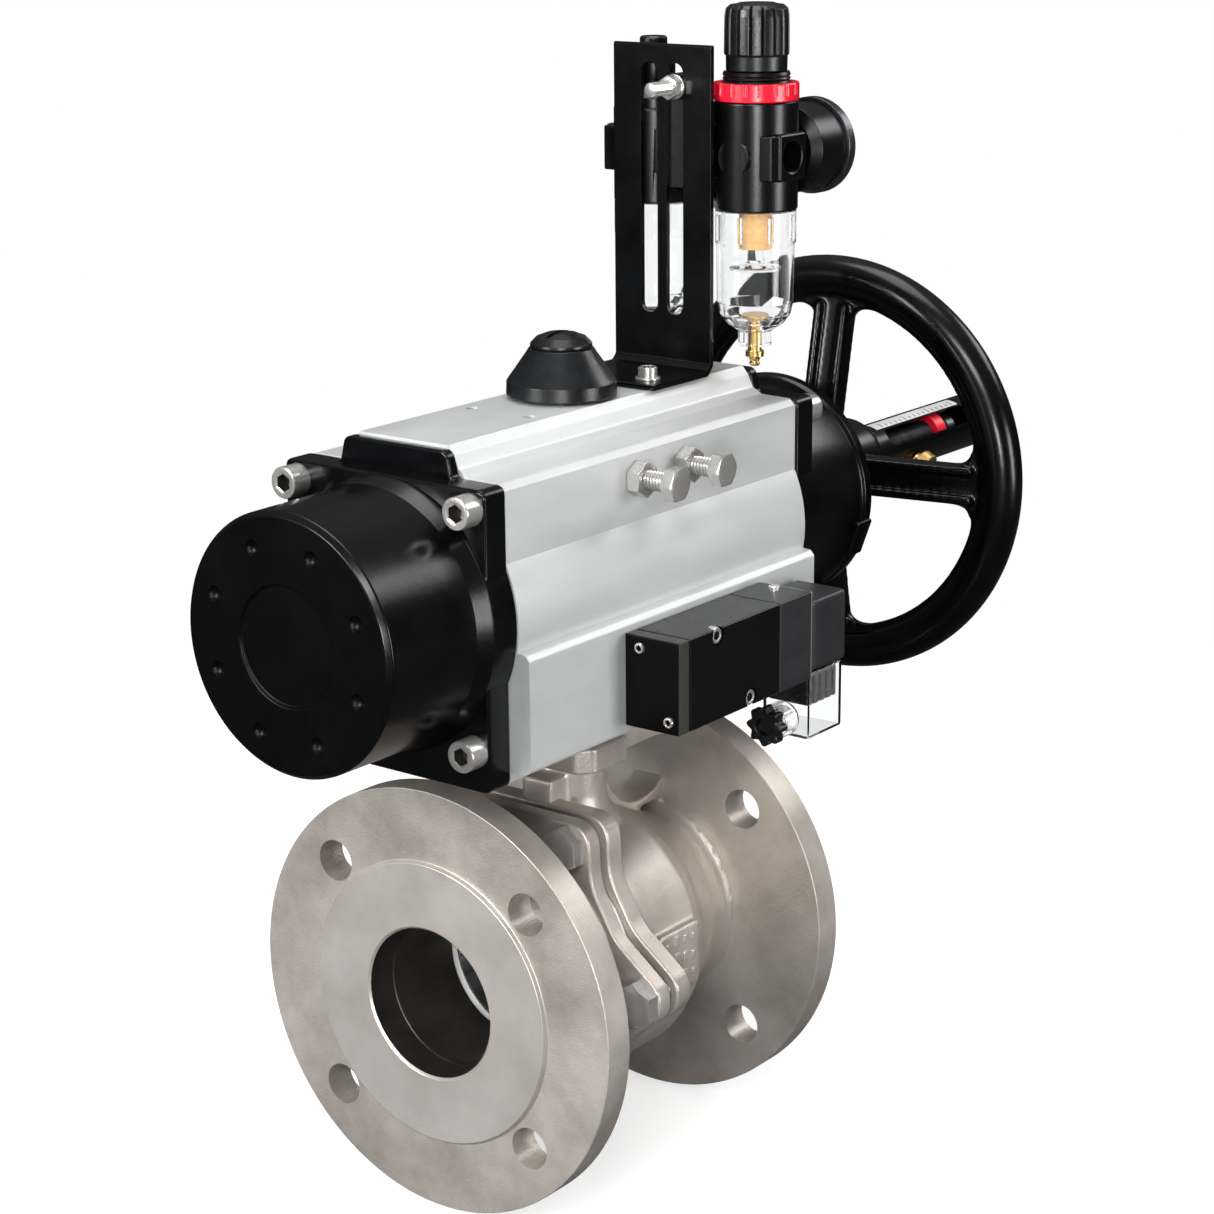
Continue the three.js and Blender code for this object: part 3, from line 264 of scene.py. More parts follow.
def prism(name, mat, axis, outline, low, high):
    first, second, along = basis(axis)
    count = len(outline)
    points = [first * u + second * v + along * w for w in (low, high) for u, v in outline]
    bottom, top = list(range(count)), list(range(count, 2 * count))
    return mesh(name, points, [bottom[::-1], top] + quads(bottom, top), mat)


def block(name, mat, x0, x1, y0, y1, z0, z1):
    return prism(name, mat, "z", [(x0, y0), (x1, y0), (x1, y1), (x0, y1)], z0, z1)


def collar(name, mat, axis, centre, span, radii, segments, soften=0.0):
    """A plain ring, or a disc where the inner radius is nought. The span is its two ends on the axis."""
    (low, high), (inner, outer) = span, radii
    profile = [(low, inner), (low, outer), (high, outer), (high, inner)]
    return lathe(name, mat, axis, centre, profile, segments, soften)


def rod(name, mat, axis, start, radius, length, segments=48):
    return lathe(name, mat, axis, start, [(0, 0), (0, radius), (length, radius), (length, 0)], segments, 0)


def bake(obj):
    bpy.context.view_layer.update()
    graph = bpy.context.evaluated_depsgraph_get()
    data = bpy.data.meshes.new_from_object(obj.evaluated_get(graph))
    obj.modifiers.clear()
    obj.data = data
    return obj


def combine(obj, others, operation):
    for other in others:
        change = obj.modifiers.new("shape", "BOOLEAN")
        change.operation = operation
        change.solver = "EXACT"
        change.object = other
    bake(obj)
    for other in others:
        bpy.data.objects.remove(other)
    return obj


def carve(obj, *cutters):
    return combine(obj, cutters, "DIFFERENCE")


def fuse(obj, *others):
    return combine(obj, others, "UNION")


def gather(obj, *others):
    """One mesh of closed shells that overlap, for cast() to melt into one."""
    work = bmesh.new()
    for piece in (obj, *others):
        work.from_mesh(piece.data)
    work.to_mesh(obj.data)
    work.free()
    for other in others:
        bpy.data.objects.remove(other)
    return obj


def cast(obj, voxel=1.1, rounds=6):
    """Blends the joins of a casting the way a mould does."""
    grid = obj.modifiers.new("grid", "REMESH")
    grid.mode = "VOXEL"
    grid.voxel_size = voxel * MM
    relax = obj.modifiers.new("relax", "SMOOTH")
    relax.factor = 0.5
    relax.iterations = rounds
    return bake(obj)


def soften(obj, width, segments=3, angle=35):
    edge = obj.modifiers.new("edge", "BEVEL")
    edge.width = width * MM
    edge.segments = segments
    edge.limit_method = "ANGLE"
    edge.angle_limit = radians(angle)
    edge.use_clamp_overlap = True
    return bake(obj)


def place(obj, body, slot, *nodes, sharp=38):
    """Shades the piece, ties it to its body and hides the CAD nodes it stands for. The slot is not used."""
    for face in obj.data.polygons:
        face.use_smooth = True
    obj.data.set_sharp_from_angle(angle=radians(sharp))
    level = obj.modifiers.new("level", "WEIGHTED_NORMAL")
    level.keep_sharp = True
    bake(obj)
    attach(obj, body)
    if nodes:
        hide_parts(*nodes)
    return obj


def turned(obj, angle):
    """Turns a piece drawn about the pipe axis by an angle, and lifts it to the actuator's axis."""
    obj.data.transform(Matrix.Rotation(angle, 4, "X"))
    obj.data.transform(Matrix.Translation((0, 0, AXIS_Z * MM)))
    return obj


def fixed(obj, slot, *nodes, **shading):
    """Places a piece that stays with the valve."""
    return place(obj, "housing", slot, *nodes, **shading)


def paint_faces(obj, mat, test):
    """Gives another finish to the faces whose centre, in millimetres, and normal pass the test."""
    obj.data.materials.append(mat)
    index = len(obj.data.materials) - 1
    for face in obj.data.polygons:
        if test(face.center / MM, face.normal):
            face.material_index = index


HEX_ANGLES = [2 * pi * k / 72 for k in range(72)]


def hex_radius(across, angle):
    """How far a hexagon's edge is from its middle at an angle."""
    return across / 2 / cos((angle + pi / 6) % (pi / 3) - pi / 6)


def hexagon(name, mat, axis, start, across, height, hole=0.0, both=False):
    """A hexagon head or nut with its corners turned down to a chamfer circle."""
    first, second, along = basis(axis)
    start = Vector(start)
    points, rings = [], []

    def ring(radius_at, height_at):
        row = []
        for angle in HEX_ANGLES:
            radius = radius_at(angle)
            row.append(len(points))
            direction = first * cos(angle) + second * sin(angle)
            points.append(start + direction * radius + along * height_at(radius))
        rings.append(row)

    def corner(angle):
        return hex_radius(across, angle)

    inner = across / 2 * 0.94
    slope = 0.5
    core = hole if hole else inner * 0.6
    ring(lambda a: core, lambda r: 0)
    if both:
        ring(lambda a: inner, lambda r: 0)
        ring(corner, lambda r: (r - inner) * slope)
    else:
        ring(corner, lambda r: 0)
    ring(corner, lambda r: height - (r - inner) * slope)
    ring(lambda a: inner, lambda r: height)
    ring(lambda a: core, lambda r: height)
    return skin(name, points, rings, mat, looped=bool(hole))


def thread(name, mat, axis, start, radius, length, pitch=1.5):
    """A threaded shank, drawn as its row of crests."""
    root = radius * 0.82
    profile = [(0, 0), (0, root)]
    for k in range(int(length / pitch)):
        profile += [((k + 0.4) * pitch, radius), ((k + 0.6) * pitch, radius), ((k + 1) * pitch, root)]
    profile += [(length, root), (length, 0)]
    return lathe(name, mat, axis, start, profile, 40, 0)


def socket_screw(name, axis, start, radius, height, mat=BRIGHT):
    """A cylinder head with its hexagon socket, its top at start and its body along the axis."""
    first, second, along = basis(axis)
    sign = 1 if height > 0 else -1
    outline = [(height, lambda a: radius * 0.2), (height, lambda a: radius),
               (sign * 0.7, lambda a: radius), (sign * 0.2, lambda a: radius - 0.25),
               (0, lambda a: radius - 0.75), (0, lambda a: radius * 0.66),
               (sign * 0.35, lambda a: hex_radius(radius, a)),
               (height * 0.62, lambda a: hex_radius(radius, a)), (height * 0.7, lambda a: radius * 0.2)]
    points, rings = [], []
    for distance, radius_at in outline:
        row = []
        for angle in HEX_ANGLES:
            row.append(len(points))
            offset = (first * cos(angle) + second * sin(angle)) * radius_at(angle)
            points.append(Vector(start) + offset + along * distance)
        rings.append(row)
    made = skin(name, points, rings, mat)

    def in_socket(centre, normal):
        offset = Vector(centre) - Vector(start)
        depth = offset.dot(along)
        return sign * depth > 0.6 and (offset - along * depth).length < radius * 0.62

    # The socket's inside is painted near black: painted shade in the recess.
    paint_faces(made, PAINTED_SHADE_STEEL, in_socket)
    return made


def polar(steps, radius_at):
    """A closed outline whose radius changes with the angle."""
    angles = [2 * pi * k / steps for k in range(steps)]
    return [(radius_at(a) * cos(a), radius_at(a) * sin(a)) for a in angles]


# ---------- ball valve ----------

INLET_X, OUTLET_X = -94.4, 75.6
JOINT_FRONT, JOINT_BACK = -40.5, -31.5
BODY_PLATE, BODY_PLATE_END = -28.5, -18.0
JOINT_BOLTS = [(69.8, 0), (32.2, 59.8), (-32.2, 59.8), (-69.8, 0), (-32.2, -59.8), (32.2, -59.8)]
JOINT_BOLT_R = 5.1
PLATE_GAP = 0.8
FLANGE_R, FLANGE_T = 92.5, 16
RAISED_R, RAISED_H = 61, 2
BORE_R = 32.5
BOLT_CIRCLE_R, BOLT_HOLE_R = 72.5, 9
BOLT_ANGLES = [pi / 4 + k * pi / 2 for k in range(4)]
BALL_R = 49
SEAT_POCKET_R = 42


def bolt_holes(low, high):
    spots = [(low, BOLT_CIRCLE_R * cos(a), BOLT_CIRCLE_R * sin(a)) for a in BOLT_ANGLES]
    return [rod("cut", CAST, "x", spot, BOLT_HOLE_R, high - low, 64) for spot in spots]


def flange(name, face, back, *nodes):
    side = 1 if back > face else -1
    step = face + RAISED_H * side
    profile = [(face, BORE_R + 1), (face, RAISED_R), (step, RAISED_R + 0.6), (step, FLANGE_R),
               (back, FLANGE_R), (back, 46), (back - side, BORE_R), (face + side, BORE_R)]
    made = lathe(name, MACHINED, "x", (0, 0, 0), profile, 160, 0.5)
    carve(made, *bolt_holes(min(face, back) - 2, max(face, back) + 2))
    paint_faces(made, CAST, lambda c, n: n.x * side > 0.6 or hypot(c.y, c.z) > RAISED_R + 1.5)
    # The bore's wall is painted near black: painted shade inside the pipe.
    paint_faces(made, PAINTED_SHADE_STEEL, lambda c, n: abs(n.x) < 0.3 and hypot(c.y, c.z) < BORE_R + 0.7)
    return fixed(made, "cast_stainless", *nodes)


def joint_outline():
    """The joint's waisted plate. Only one quarter of it is given, and the rest is its mirror image."""
    quarter = [(43, 70.6), (44, 45), (56, 24), (79.3, 6)]
    half = quarter + [(y, -z) for y, z in quarter[::-1]]
    return rounded(half + [(-y, -z) for y, z in half], 26, steps=10)


def joint_plate(name, low, high):
    made = prism(name, CAST, "x", joint_outline(), low, high)
    holes = [rod("cut", CAST, "x", (low - 1, y, z), 5.4, high - low + 2, 40) for y, z in JOINT_BOLTS]
    carve(made, rod("cut", CAST, "x", (low - 1, 0, 0), 52, high - low + 2, 96), *holes)
    soften(made, 2.1, 5)
    return fixed(made, "cast_stainless")


def build_valve():
    flange("inlet_flange", INLET_X, INLET_X + FLANGE_T, "inlet_end")
    flange("outlet_flange", OUTLET_X, OUTLET_X - FLANGE_T)
    bell = [(-79.5, BORE_R), (-79.5, 57), (-75, 52.5), (-68, 50.2), (-56, 50), (-48, 53), (-41, 58),
            (JOINT_BACK, 58), (JOINT_BACK, SEAT_POCKET_R), (-40, SEAT_POCKET_R), (-40, BORE_R)]
    neck_piece = lathe("inlet_bell", CAST, "x", (0, 0, 0), bell, 128, 1.6)
    # The seat pocket and bore are painted near black: painted shade inside the pipe.
    paint_faces(neck_piece, PAINTED_SHADE_STEEL, lambda c, n: hypot(c.y, c.z) < SEAT_POCKET_R + 0.5)
    fixed(neck_piece, "cast_stainless")
    joint_plate("inlet_joint_plate", JOINT_FRONT, JOINT_BACK - PLATE_GAP)
    joint_plate("body_joint_plate", BODY_PLATE + PLATE_GAP, BODY_PLATE_END)
    barrel = [(-28, 51), (-28, 60), (-19, 58.5), (16, 58.5), (24, 55.5), (31, 51.5), (38, 48.6), (44, 46.2),
              (49, 44.5), (54, 43.8), (57.5, 44.8), (60.5, 48.5), (60.5, 33), (40, 33), (40, SEAT_POCKET_R),
              (31, SEAT_POCKET_R), (14, 51)]
    body = lathe("valve_casting", CAST, "x", (0, 0, 0), barrel, 128, 1.2)
    stalk = [(53, 0), (53, 25), (62, 18.5), (68, 17.2), (92, 17.2), (96, 20), (96, 0)]
    neck = lathe("neck", CAST, "z", (0, 0, 0), stalk, 64, 2)
    rib = block("rib", CAST, 8, 61, -8, 8, 48, 76.5)
    carve(rib, rod("cut", CAST, "y", (42.6, -12, 77), 25.4, 24, 96))
    pad = block("symbol", CAST, -14, 15.5, -60, -50, -13, 16)
    boss = block("boss", CAST, -25, -8, -11, 5, 60, 80)
    fuse(body, neck, rib, pad, boss)
    carve(body, rod("cut", CAST, "x", (-30, 0, 0), 50.5, 44, 96))
    fixed(cast(body), "cast_stainless", "valve_body")
    quarter = [(39, -15.5), (39, 15.5), (43, 19), (48, 19), (48, 42), (42, 48), (19, 48), (19, 43)]
    outline = []
    for turn in range(4):
        c, s = round(cos(turn * pi / 2)), round(sin(turn * pi / 2))
        outline += [(u * c - v * s, u * s + v * c) for u, v in quarter]
    plate = prism("stem_pad", CAST, "z", rounded(outline, 5), 95.5, 106.3)
    fixed(soften(plate, 1.2), "cast_stainless")
    for k, (y, z) in enumerate(JOINT_BOLTS):
        head = hexagon(f"joint_bolt_head_{k + 1}", BRIGHT, (-1, 0, 0), (JOINT_FRONT, y, z), 17.5, 7.3)
        fixed(head, "plated_steel", f"joint_bolt_{k + 1}", sharp=28)
        shank = thread(f"joint_bolt_shank_{k + 1}", BRIGHT, "x", (JOINT_FRONT, y, z), JOINT_BOLT_R, 21)
        fixed(shank, "plated_steel")
    marks = []
    for row in range(3):
        for col in range(4):
            x, z = -9.5 + col * 6.2, -7.5 + row * 8.2
            size = 1.6 + 0.5 * ((row * 3 + col * 5) % 3)
            marks.append(block("mark", CAST, x, x + size * 1.5, -60.7, -59, z, z + size * 2))
    fixed(cast(fuse(marks[0], *marks[1:]), 0.4, 3), "cast_stainless").name = "cast_marks"
    angles = [radians(a) for a in range(42, 139, 4)]
    arc = [(BALL_R * cos(a), BALL_R * sin(a)) for a in angles]
    ball = lathe("ball_bored", POLISHED, "x", (0, 0, 0), [(36.6, BORE_R)] + arc + [(-36.6, BORE_R)], 128, 0)
    carve(ball, block("cut", CAST, -30, 30, -6, 6, 40, 60))
    place(ball, "drive_train", "polished_stainless", "ball")
    for side, node in ((-1, "seat_inlet"), (1, "seat_outlet")):
        profile = [(39.7, 41), (28.6, 41), (31.7, 38), (35.4, 34.5), (39.7, 34.5)]
        profile = [(side * x, radius) for x, radius in profile]
        fixed(lathe("ring_" + node, WHITE, "x", (0, 0, 0), profile, 96, 0.2), "white_ptfe", node)


# ---------- actuator ----------

BODY_HALF = 99.8
CYLINDER_R = 46
SCREW_BORE_R = 12.5
STOP_X, STOP_HEAD_Y, STOP_Z = 16.3, -67.7, 215.5
CAP_FRONT = -169.8


def body_outline():
    bulge = 56.3

    def arc(start, end, side, steps=14):
        angles = [start + (end - start) * k / steps for k in range(steps + 1)]
        return [(side * bulge * cos(a), AXIS_Z + bulge * sin(a)) for a in angles]

    edge = acos(50.5 / bulge)
    step = asin(-10 / bulge)
    shoulder = [(50.5, 226), (47.5, 228.6), (33, 228.9), (28, 231.5), (25.6, 237), (22.5, 240.5)]
    top = rounded(shoulder, 2.5, False, 5)
    left = [(-u, v) for u, v in top]
    foot = rounded([(50.5, 118), (50.5, 116), (46, 113), (46, 106.5)], 1.5, False)
    plus = top[::-1] + arc(edge, -edge, 1) + foot
    minus = [(-46, 106.5), (-46, 113), (-58, 113.4)]
    solenoid_pad = [(-58, 113.4), (-61.3, 115), (-61.3, 160), (-59.6, 162.2), (-56.4, 162.6)]
    return plus + minus + rounded(solenoid_pad, 1.6, False, 5) + arc(step, edge, -1) + left


def ears_outline():
    return rounded([(-51.5, 107.5), (51.5, 107.5), (51.5, 228.6), (-51.5, 228.6)], 4)


def tab_outline():
    top = rounded([(36, 228.2), (28.8, 228.6), (26.3, 239.4)], 3, False, 5)
    crown = rounded([(28.8, 228.6), (26.3, 239.4), (-26.3, 239.4), (-28.8, 228.6)], 4.5, False, 6)
    left = [(-y, z) for y, z in top[::-1]]
    return [(36, 222)] + top[:-1] + crown[1:-1] + left[1:] + [(-36, 222)]


def cap(name, drum, ears, tab, ring):
    """A cap shell: its drum, the square flange with the screw ears, and the tab on top."""
    made = lathe(name, PAINT, "x", MIDDLE, drum, 160, 1.4)
    plate = soften(prism("plate", PAINT, "x", ears_outline(), *ears), 1.2)
    top = soften(prism("tab", PAINT, "x", tab_outline(), *tab), 1.0)
    band = collar("ring", PAINT, "x", MIDDLE, ring, (0, 55.9), 128, 0.5)
    return fuse(made, plate, top, band)


def screw_places():
    return [(y, AXIS_Z + z) for y, z in ((44.3, 48.2), (-44.3, 48.2), (44.3, -48.2), (-44.3, -48.2))]


def cap_dimples(front):
    """Eight round dimples in a ring. Each is the end of a ball that sinks in by its rim's lean."""
    ball, rim, circle = 3.89, radians(61), 39.2
    hollow = [(-1, 0), (-1, 3.5)]
    for step in range(9):
        lean = rim * (1 - step / 8)
        hollow.append((ball * (cos(lean) - cos(rim)), ball * sin(lean)))
    dimples = []
    for k in range(8):
        angle = radians(22.5 + 45 * k)
        spot = (front, circle * cos(angle), AXIS_Z + circle * sin(angle))
        dimples.append(lathe("cut", PAINT, "x", spot, hollow, 32, 0))
    return dimples


def build_actuator():
    body = prism("extruded_body", ALUMINIUM, "x", body_outline(), -BODY_HALF, BODY_HALF)
    cuts = [rod("cut", ALUMINIUM, "x", (-110, 0, AXIS_Z), CYLINDER_R, 220, 128)]
    cuts += [rod("cut", ALUMINIUM, "z", (x, y, 229), 2.6, 20, 32) for x in (-40, 40) for y in (-15, 15)]
    cuts.append(rod("cut", ALUMINIUM, "z", (0, 0, 210), 12.6, 50, 64))
    cuts.append(rod("cut", ALUMINIUM, "z", (0, 0, 100), 14.6, 40, 64))
    cuts += [rod("cut", ALUMINIUM, "y", (x, -70, STOP_Z), 4.2, 55, 40) for x in (-STOP_X, STOP_X)]
    carve(body, *cuts)
    fixed(body, "anodised_aluminium", "actuator_body", sharp=24)

    front = CAP_FRONT
    drum = [(front + 1.2, 0), (front + 1.2, 23.5), (front, 24.2), (front, 50.4), (front + 2.2, 52.4),
            (-130, 52.6), (-121, 53.4), (-114.3, 55.7), (-100.2, 55.7), (-100.2, CYLINDER_R),
            (front + 7, CYLINDER_R), (front + 7, 0)]
    near = cap("spring_cap_shell", drum, (-113, -100), (-105.3, -100), (-114.3, -100))
    carve(near, rod("cut", PAINT, "x", (front + 7, 0, AXIS_Z), CYLINDER_R, 80, 96))
    carve(near, *cap_dimples(front))

    # The cap's end face and its dimples get the darker, duller black: painted shade.
    def on_end(c, n):
        return c.x < front + 2.3 and (n.x < -0.95 or hypot(c.y, c.z - AXIS_Z) < 45)

    paint_faces(near, SHADE_BLACK, on_end)
    fixed(near, "black_paint", "spring_cap")

    drum = [(100.2, CYLINDER_R), (100.2, 52.4), (152, 52.4), (154, 51.2), (156, 52.6), (161, 52.6),
            (163, 50), (163, SCREW_BORE_R), (156, SCREW_BORE_R), (156, CYLINDER_R)]
    far = cap("override_cap_shell", drum, (100, 113), (100, 105.3), (100, 114.3))
    carve(far, rod("cut", PAINT, "x", (90, 0, AXIS_Z), CYLINDER_R, 66, 96))
    fixed(far, "black_paint", "override_cap")
    for k, angle in enumerate((200, 320)):
        pad = soften(block(f"cap_pad_{k + 1}", PAINT, 150, 161.5, 44, 53.4, -9, 9), 1.2)
        fixed(turned(pad, radians(angle)), "black_paint")

    for k, (y, z) in enumerate(screw_places()):
        screw = socket_screw(f"near_cap_screw_{k + 1}", "x", (-122, y, z), 6.5, 9)
        fixed(screw, "plated_steel", f"cap_screw_{k + 1}")
        far_screw = socket_screw(f"far_cap_screw_{k + 1}", (-1, 0, 0), (122, y, z), 6.5, 9)
        fixed(far_screw, "plated_steel")

    dome = [(241.6, 0), (241.6, 22.7), (242.2, 23.2), (247.5, 23.0), (249, 22), (259.5, 14.6),
            (261.2, 13.6), (261.6, 12.2), (262, 13), (263.2, 12.9), (265.8, 10.4), (267.4, 6.2), (268, 0)]
    indicator = lathe("indicator_dome", PLASTIC, "z", (0, 0, 0), dome, 128, 0.5)
    carve(indicator, block("cut", PLASTIC, -9.5, 9.5, -1.1, 1.1, 266.2, 272))
    place(indicator, "drive_train", "black_plastic", "position_indicator")
    for k, x in enumerate((-STOP_X, STOP_X)):
        head = hexagon(f"stop_head_{k + 1}", BRIGHT, (0, -1, 0), (x, STOP_HEAD_Y, STOP_Z), 13, 5.3)
        fixed(head, "plated_steel", f"stop_bolt_{k + 1}", sharp=28)
        shank = thread(f"stop_thread_{k + 1}", BRIGHT, "y", (x, STOP_HEAD_Y, STOP_Z), 4, 51.5)
        fixed(shank, "plated_steel")
        nut = hexagon(f"stop_lock_nut_{k + 1}", BRIGHT, "y", (x, -57, STOP_Z), 13, 6.4, hole=4.1, both=True)
        fixed(nut, "plated_steel", f"stop_nut_{k + 1}", sharp=28)


# ---------- handwheel override ----------

def bend(start, via, end, steps=8):
    """A smooth corner from start to end, pulled towards via."""
    start, via, end = Vector(start), Vector(via), Vector(end)
    shares = [k / steps for k in range(steps + 1)]
    return [tuple(start.lerp(via, t).lerp(via.lerp(end, t), t)) for t in shares]


def wheel_window():
    """The opening between two spokes, which run along y and z."""
    half, reach, turn = 9.3, 79.5, 13
    first = asin(half / reach)
    low = first + turn / reach
    arc = []
    for k in range(17):
        angle = low + k / 16 * (pi / 2 - 2 * low)
        arc.append((reach * cos(angle), reach * sin(angle)))
    edge = reach * cos(first)
    corners = bend((half, half + turn), (half, half), (half + turn, half))
    corners += bend((edge - turn, half), (edge, half), arc[0])
    corners += arc[1:-1] + bend(arc[-1], (half, edge), (half, edge - turn))
    return prism("window", PAINT, "x", corners, 190, 235)


WEB_DISH, WEB_EDGE_R = 0.2, 84
TUBE_START, TUBE_END, TUBE_R = 226, 338, 13.5
LABEL_R, INK_R = 13.62, 13.68


def build_wheel():
    """The rim, lip, hub and dished web with its four ribbed spokes, cast as one."""
    rim = [(212.5 + 9.5 * u, 91.4 + 9.3 * v) for u, v in polar(28, lambda a: 1)]
    wheel = lathe("handwheel_casting", PAINT, "x", MIDDLE, rim, 160, 0)
    boss = [(192, 0), (192, 20), (196, 21), (222, 21), (226, 19), (226, 0)]
    hub = lathe("hub", PAINT, "x", MIDDLE, boss, 64, 1.5)
    web = collar("web", PAINT, "x", MIDDLE, (209, 214.5), (0, 87), 128, 0.5)
    carve(web, *[turned(wheel_window(), k * pi / 2) for k in range(4)])
    spokes = [web]
    for k in range(4):
        for middle in (-7, 7):
            low, high = middle - 2.1, middle + 2.1
            line = rounded([(17, low), (79, low), (79, high), (17, high)], 2)
            spokes.append(turned(prism("ridge", PAINT, "x", line, 206, 217), k * pi / 2))
    dished = soften(gather(*spokes), 0.01, 1)
    for vertex in dished.data.vertices:
        spot = vertex.co / MM
        vertex.co.x -= WEB_DISH * (WEB_EDGE_R - hypot(spot.y, spot.z - AXIS_Z)) * MM
    lip = collar("lip", PAINT, "x", MIDDLE, (205.5, 219), (83.3, 88), 128, 0.5)
    cast(gather(wheel, dished, hub, lip), 0.9, 16)
    carve(wheel, rod("cut", PAINT, "x", (180, 0, AXIS_Z), SCREW_BORE_R, 60, 64))
    place(wheel, "wheel", "black_paint", "handwheel", sharp=75)
    plug = collar("wheel_plug", BRASS, "x", (0, -31, AXIS_Z - 0.4), (199.6, 204), (0, 3.6), 32, 0.4)
    place(plug, "wheel", "brass")


def strip(count):
    """The faces of a ribbon whose points come in pairs."""
    return [[2 * k, 2 * k + 1, 2 * k + 3, 2 * k + 2] for k in range(count)]


def build_tube():
    """The tube with its window and printed scale, which shows how far the spindle has gone."""
    wall = [(TUBE_START, TUBE_R), (337, TUBE_R), (TUBE_END, 12.4), (TUBE_END, 0.01), (334, 0.01),
            (334, 11.5), (TUBE_START, 11.5)]
    tube_piece = lathe("scale_tube", PAINT, "x", MIDDLE, wall, 96, 0.3)
    facing = Vector((0, -0.777, 0.63))
    across = Vector((1, 0, 0)).cross(facing)
    points = []
    for depth in (8, 18):
        for k in range(24):
            angle = 2 * pi * k / 24
            reach = 34 if cos(angle) > 0 else -34
            centre = Vector((282 + reach, 0, AXIS_Z)) + facing * depth
            points.append(centre + Vector((1, 0, 0)) * 5 * cos(angle) + across * 5 * sin(angle))
    ends = [list(range(24)), list(range(24, 48))]
    carve(tube_piece, mesh("cut", points, [ends[0][::-1], ends[1]] + quads(*ends), PAINT))
    place(tube_piece, "wheel", "black_paint", "indicator_tube")
    label_points = []
    for k in range(13):
        angle = radians(64 + 2.3 * k)
        for x in (240, 317):
            label_points.append((x, -LABEL_R * cos(angle), AXIS_Z + LABEL_R * sin(angle)))
    # The label is drawn grey: painted shade where the tube is in shadow.
    place(mesh("scale_label", label_points, strip(12), LABEL_IN_PAINTED_SHADE), "wheel", "black_paint")
    for k in range(16):
        tall = 7.5 if k % 5 == 0 else 4.5
        mark = []
        for row in range(7):
            angle = radians(67 + tall * row / 3)
            for x in (246 + 4.4 * k, 246.8 + 4.4 * k):
                mark.append((x, -INK_R * cos(angle), AXIS_Z + INK_R * sin(angle)))
        place(mesh(f"scale_mark_{k + 1}", mark, strip(6), INK), "wheel", "black_paint")


def build_override():
    housing = [(163, SCREW_BORE_R), (163, 30), (168, 30), (172, 24), (186, 22), (188, 20),
               (188, SCREW_BORE_R)]
    bearing = lathe("bearing_housing", PAINT, "x", MIDDLE, housing, 96, 1.2)
    fixed(bearing, "black_paint", "screw_housing")
    build_wheel()
    build_tube()
    band = collar("travel_band", RED, "x", MIDDLE, (291, 299), (7.4, 11.1), 64, 0.3)
    place(band, "jackscrew", "red_plastic", "travel_ring")
    spindle = [(139, 0), (139, 14), (147, 14), (147, 7)]
    for k in range(80):
        spindle += [(150 + 2 * k, 7), (151 + 2 * k, 6.2)]
    spindle += [(314, 7), (316, 5), (316, 0)]
    jack = lathe("jack_spindle", OILED, "x", MIDDLE, spindle, 48, 0)
    place(jack, "jackscrew", "plated_steel", "override_spindle")
    axis = Vector((0, -cos(radians(30)), -0.5))
    centre = Vector((266.5, 0, AXIS_Z))
    knob = [(11.6, 0), (11.6, 2.2), (13.8, 2.2), (13.8, 4.5), (16, 4.5), (16.2, 7.6), (16.8, 8), (21, 8),
            (21.6, 7.4), (21.6, 0)]
    screw = lathe("thumb_knob", BRASS, axis, centre, knob, 96, 0.2)
    for vertex in screw.data.vertices:
        offset = vertex.co / MM - centre
        out = offset - axis * offset.dot(axis)
        if out.length > 7.9:
            first, second, _ = basis(axis)
            turn = atan2(out.dot(second), out.dot(first))
            vertex.co -= out.normalized() * MM * 0.35 * (0.5 + 0.5 * cos(32 * turn))
    place(screw, "tube_lock", "brass", "thumb_screw")


# ---------- solenoid valve ----------

SOL_Y = -74.8
SOL_FRONT, SOL_BACK = -88.3, -61.6
GLAND_X, GLAND_Z = 40.8, 99
GLAND = (0, SOL_Y, GLAND_Z)
BLOCK_SCREWS = ((-11.6, 154.3), (12.3, 122.1))


def sol_block(name, x0, x1):
    return soften(block(name, SATIN, x0, x1, SOL_FRONT, SOL_BACK, 118.7, 157.5), 0.7)


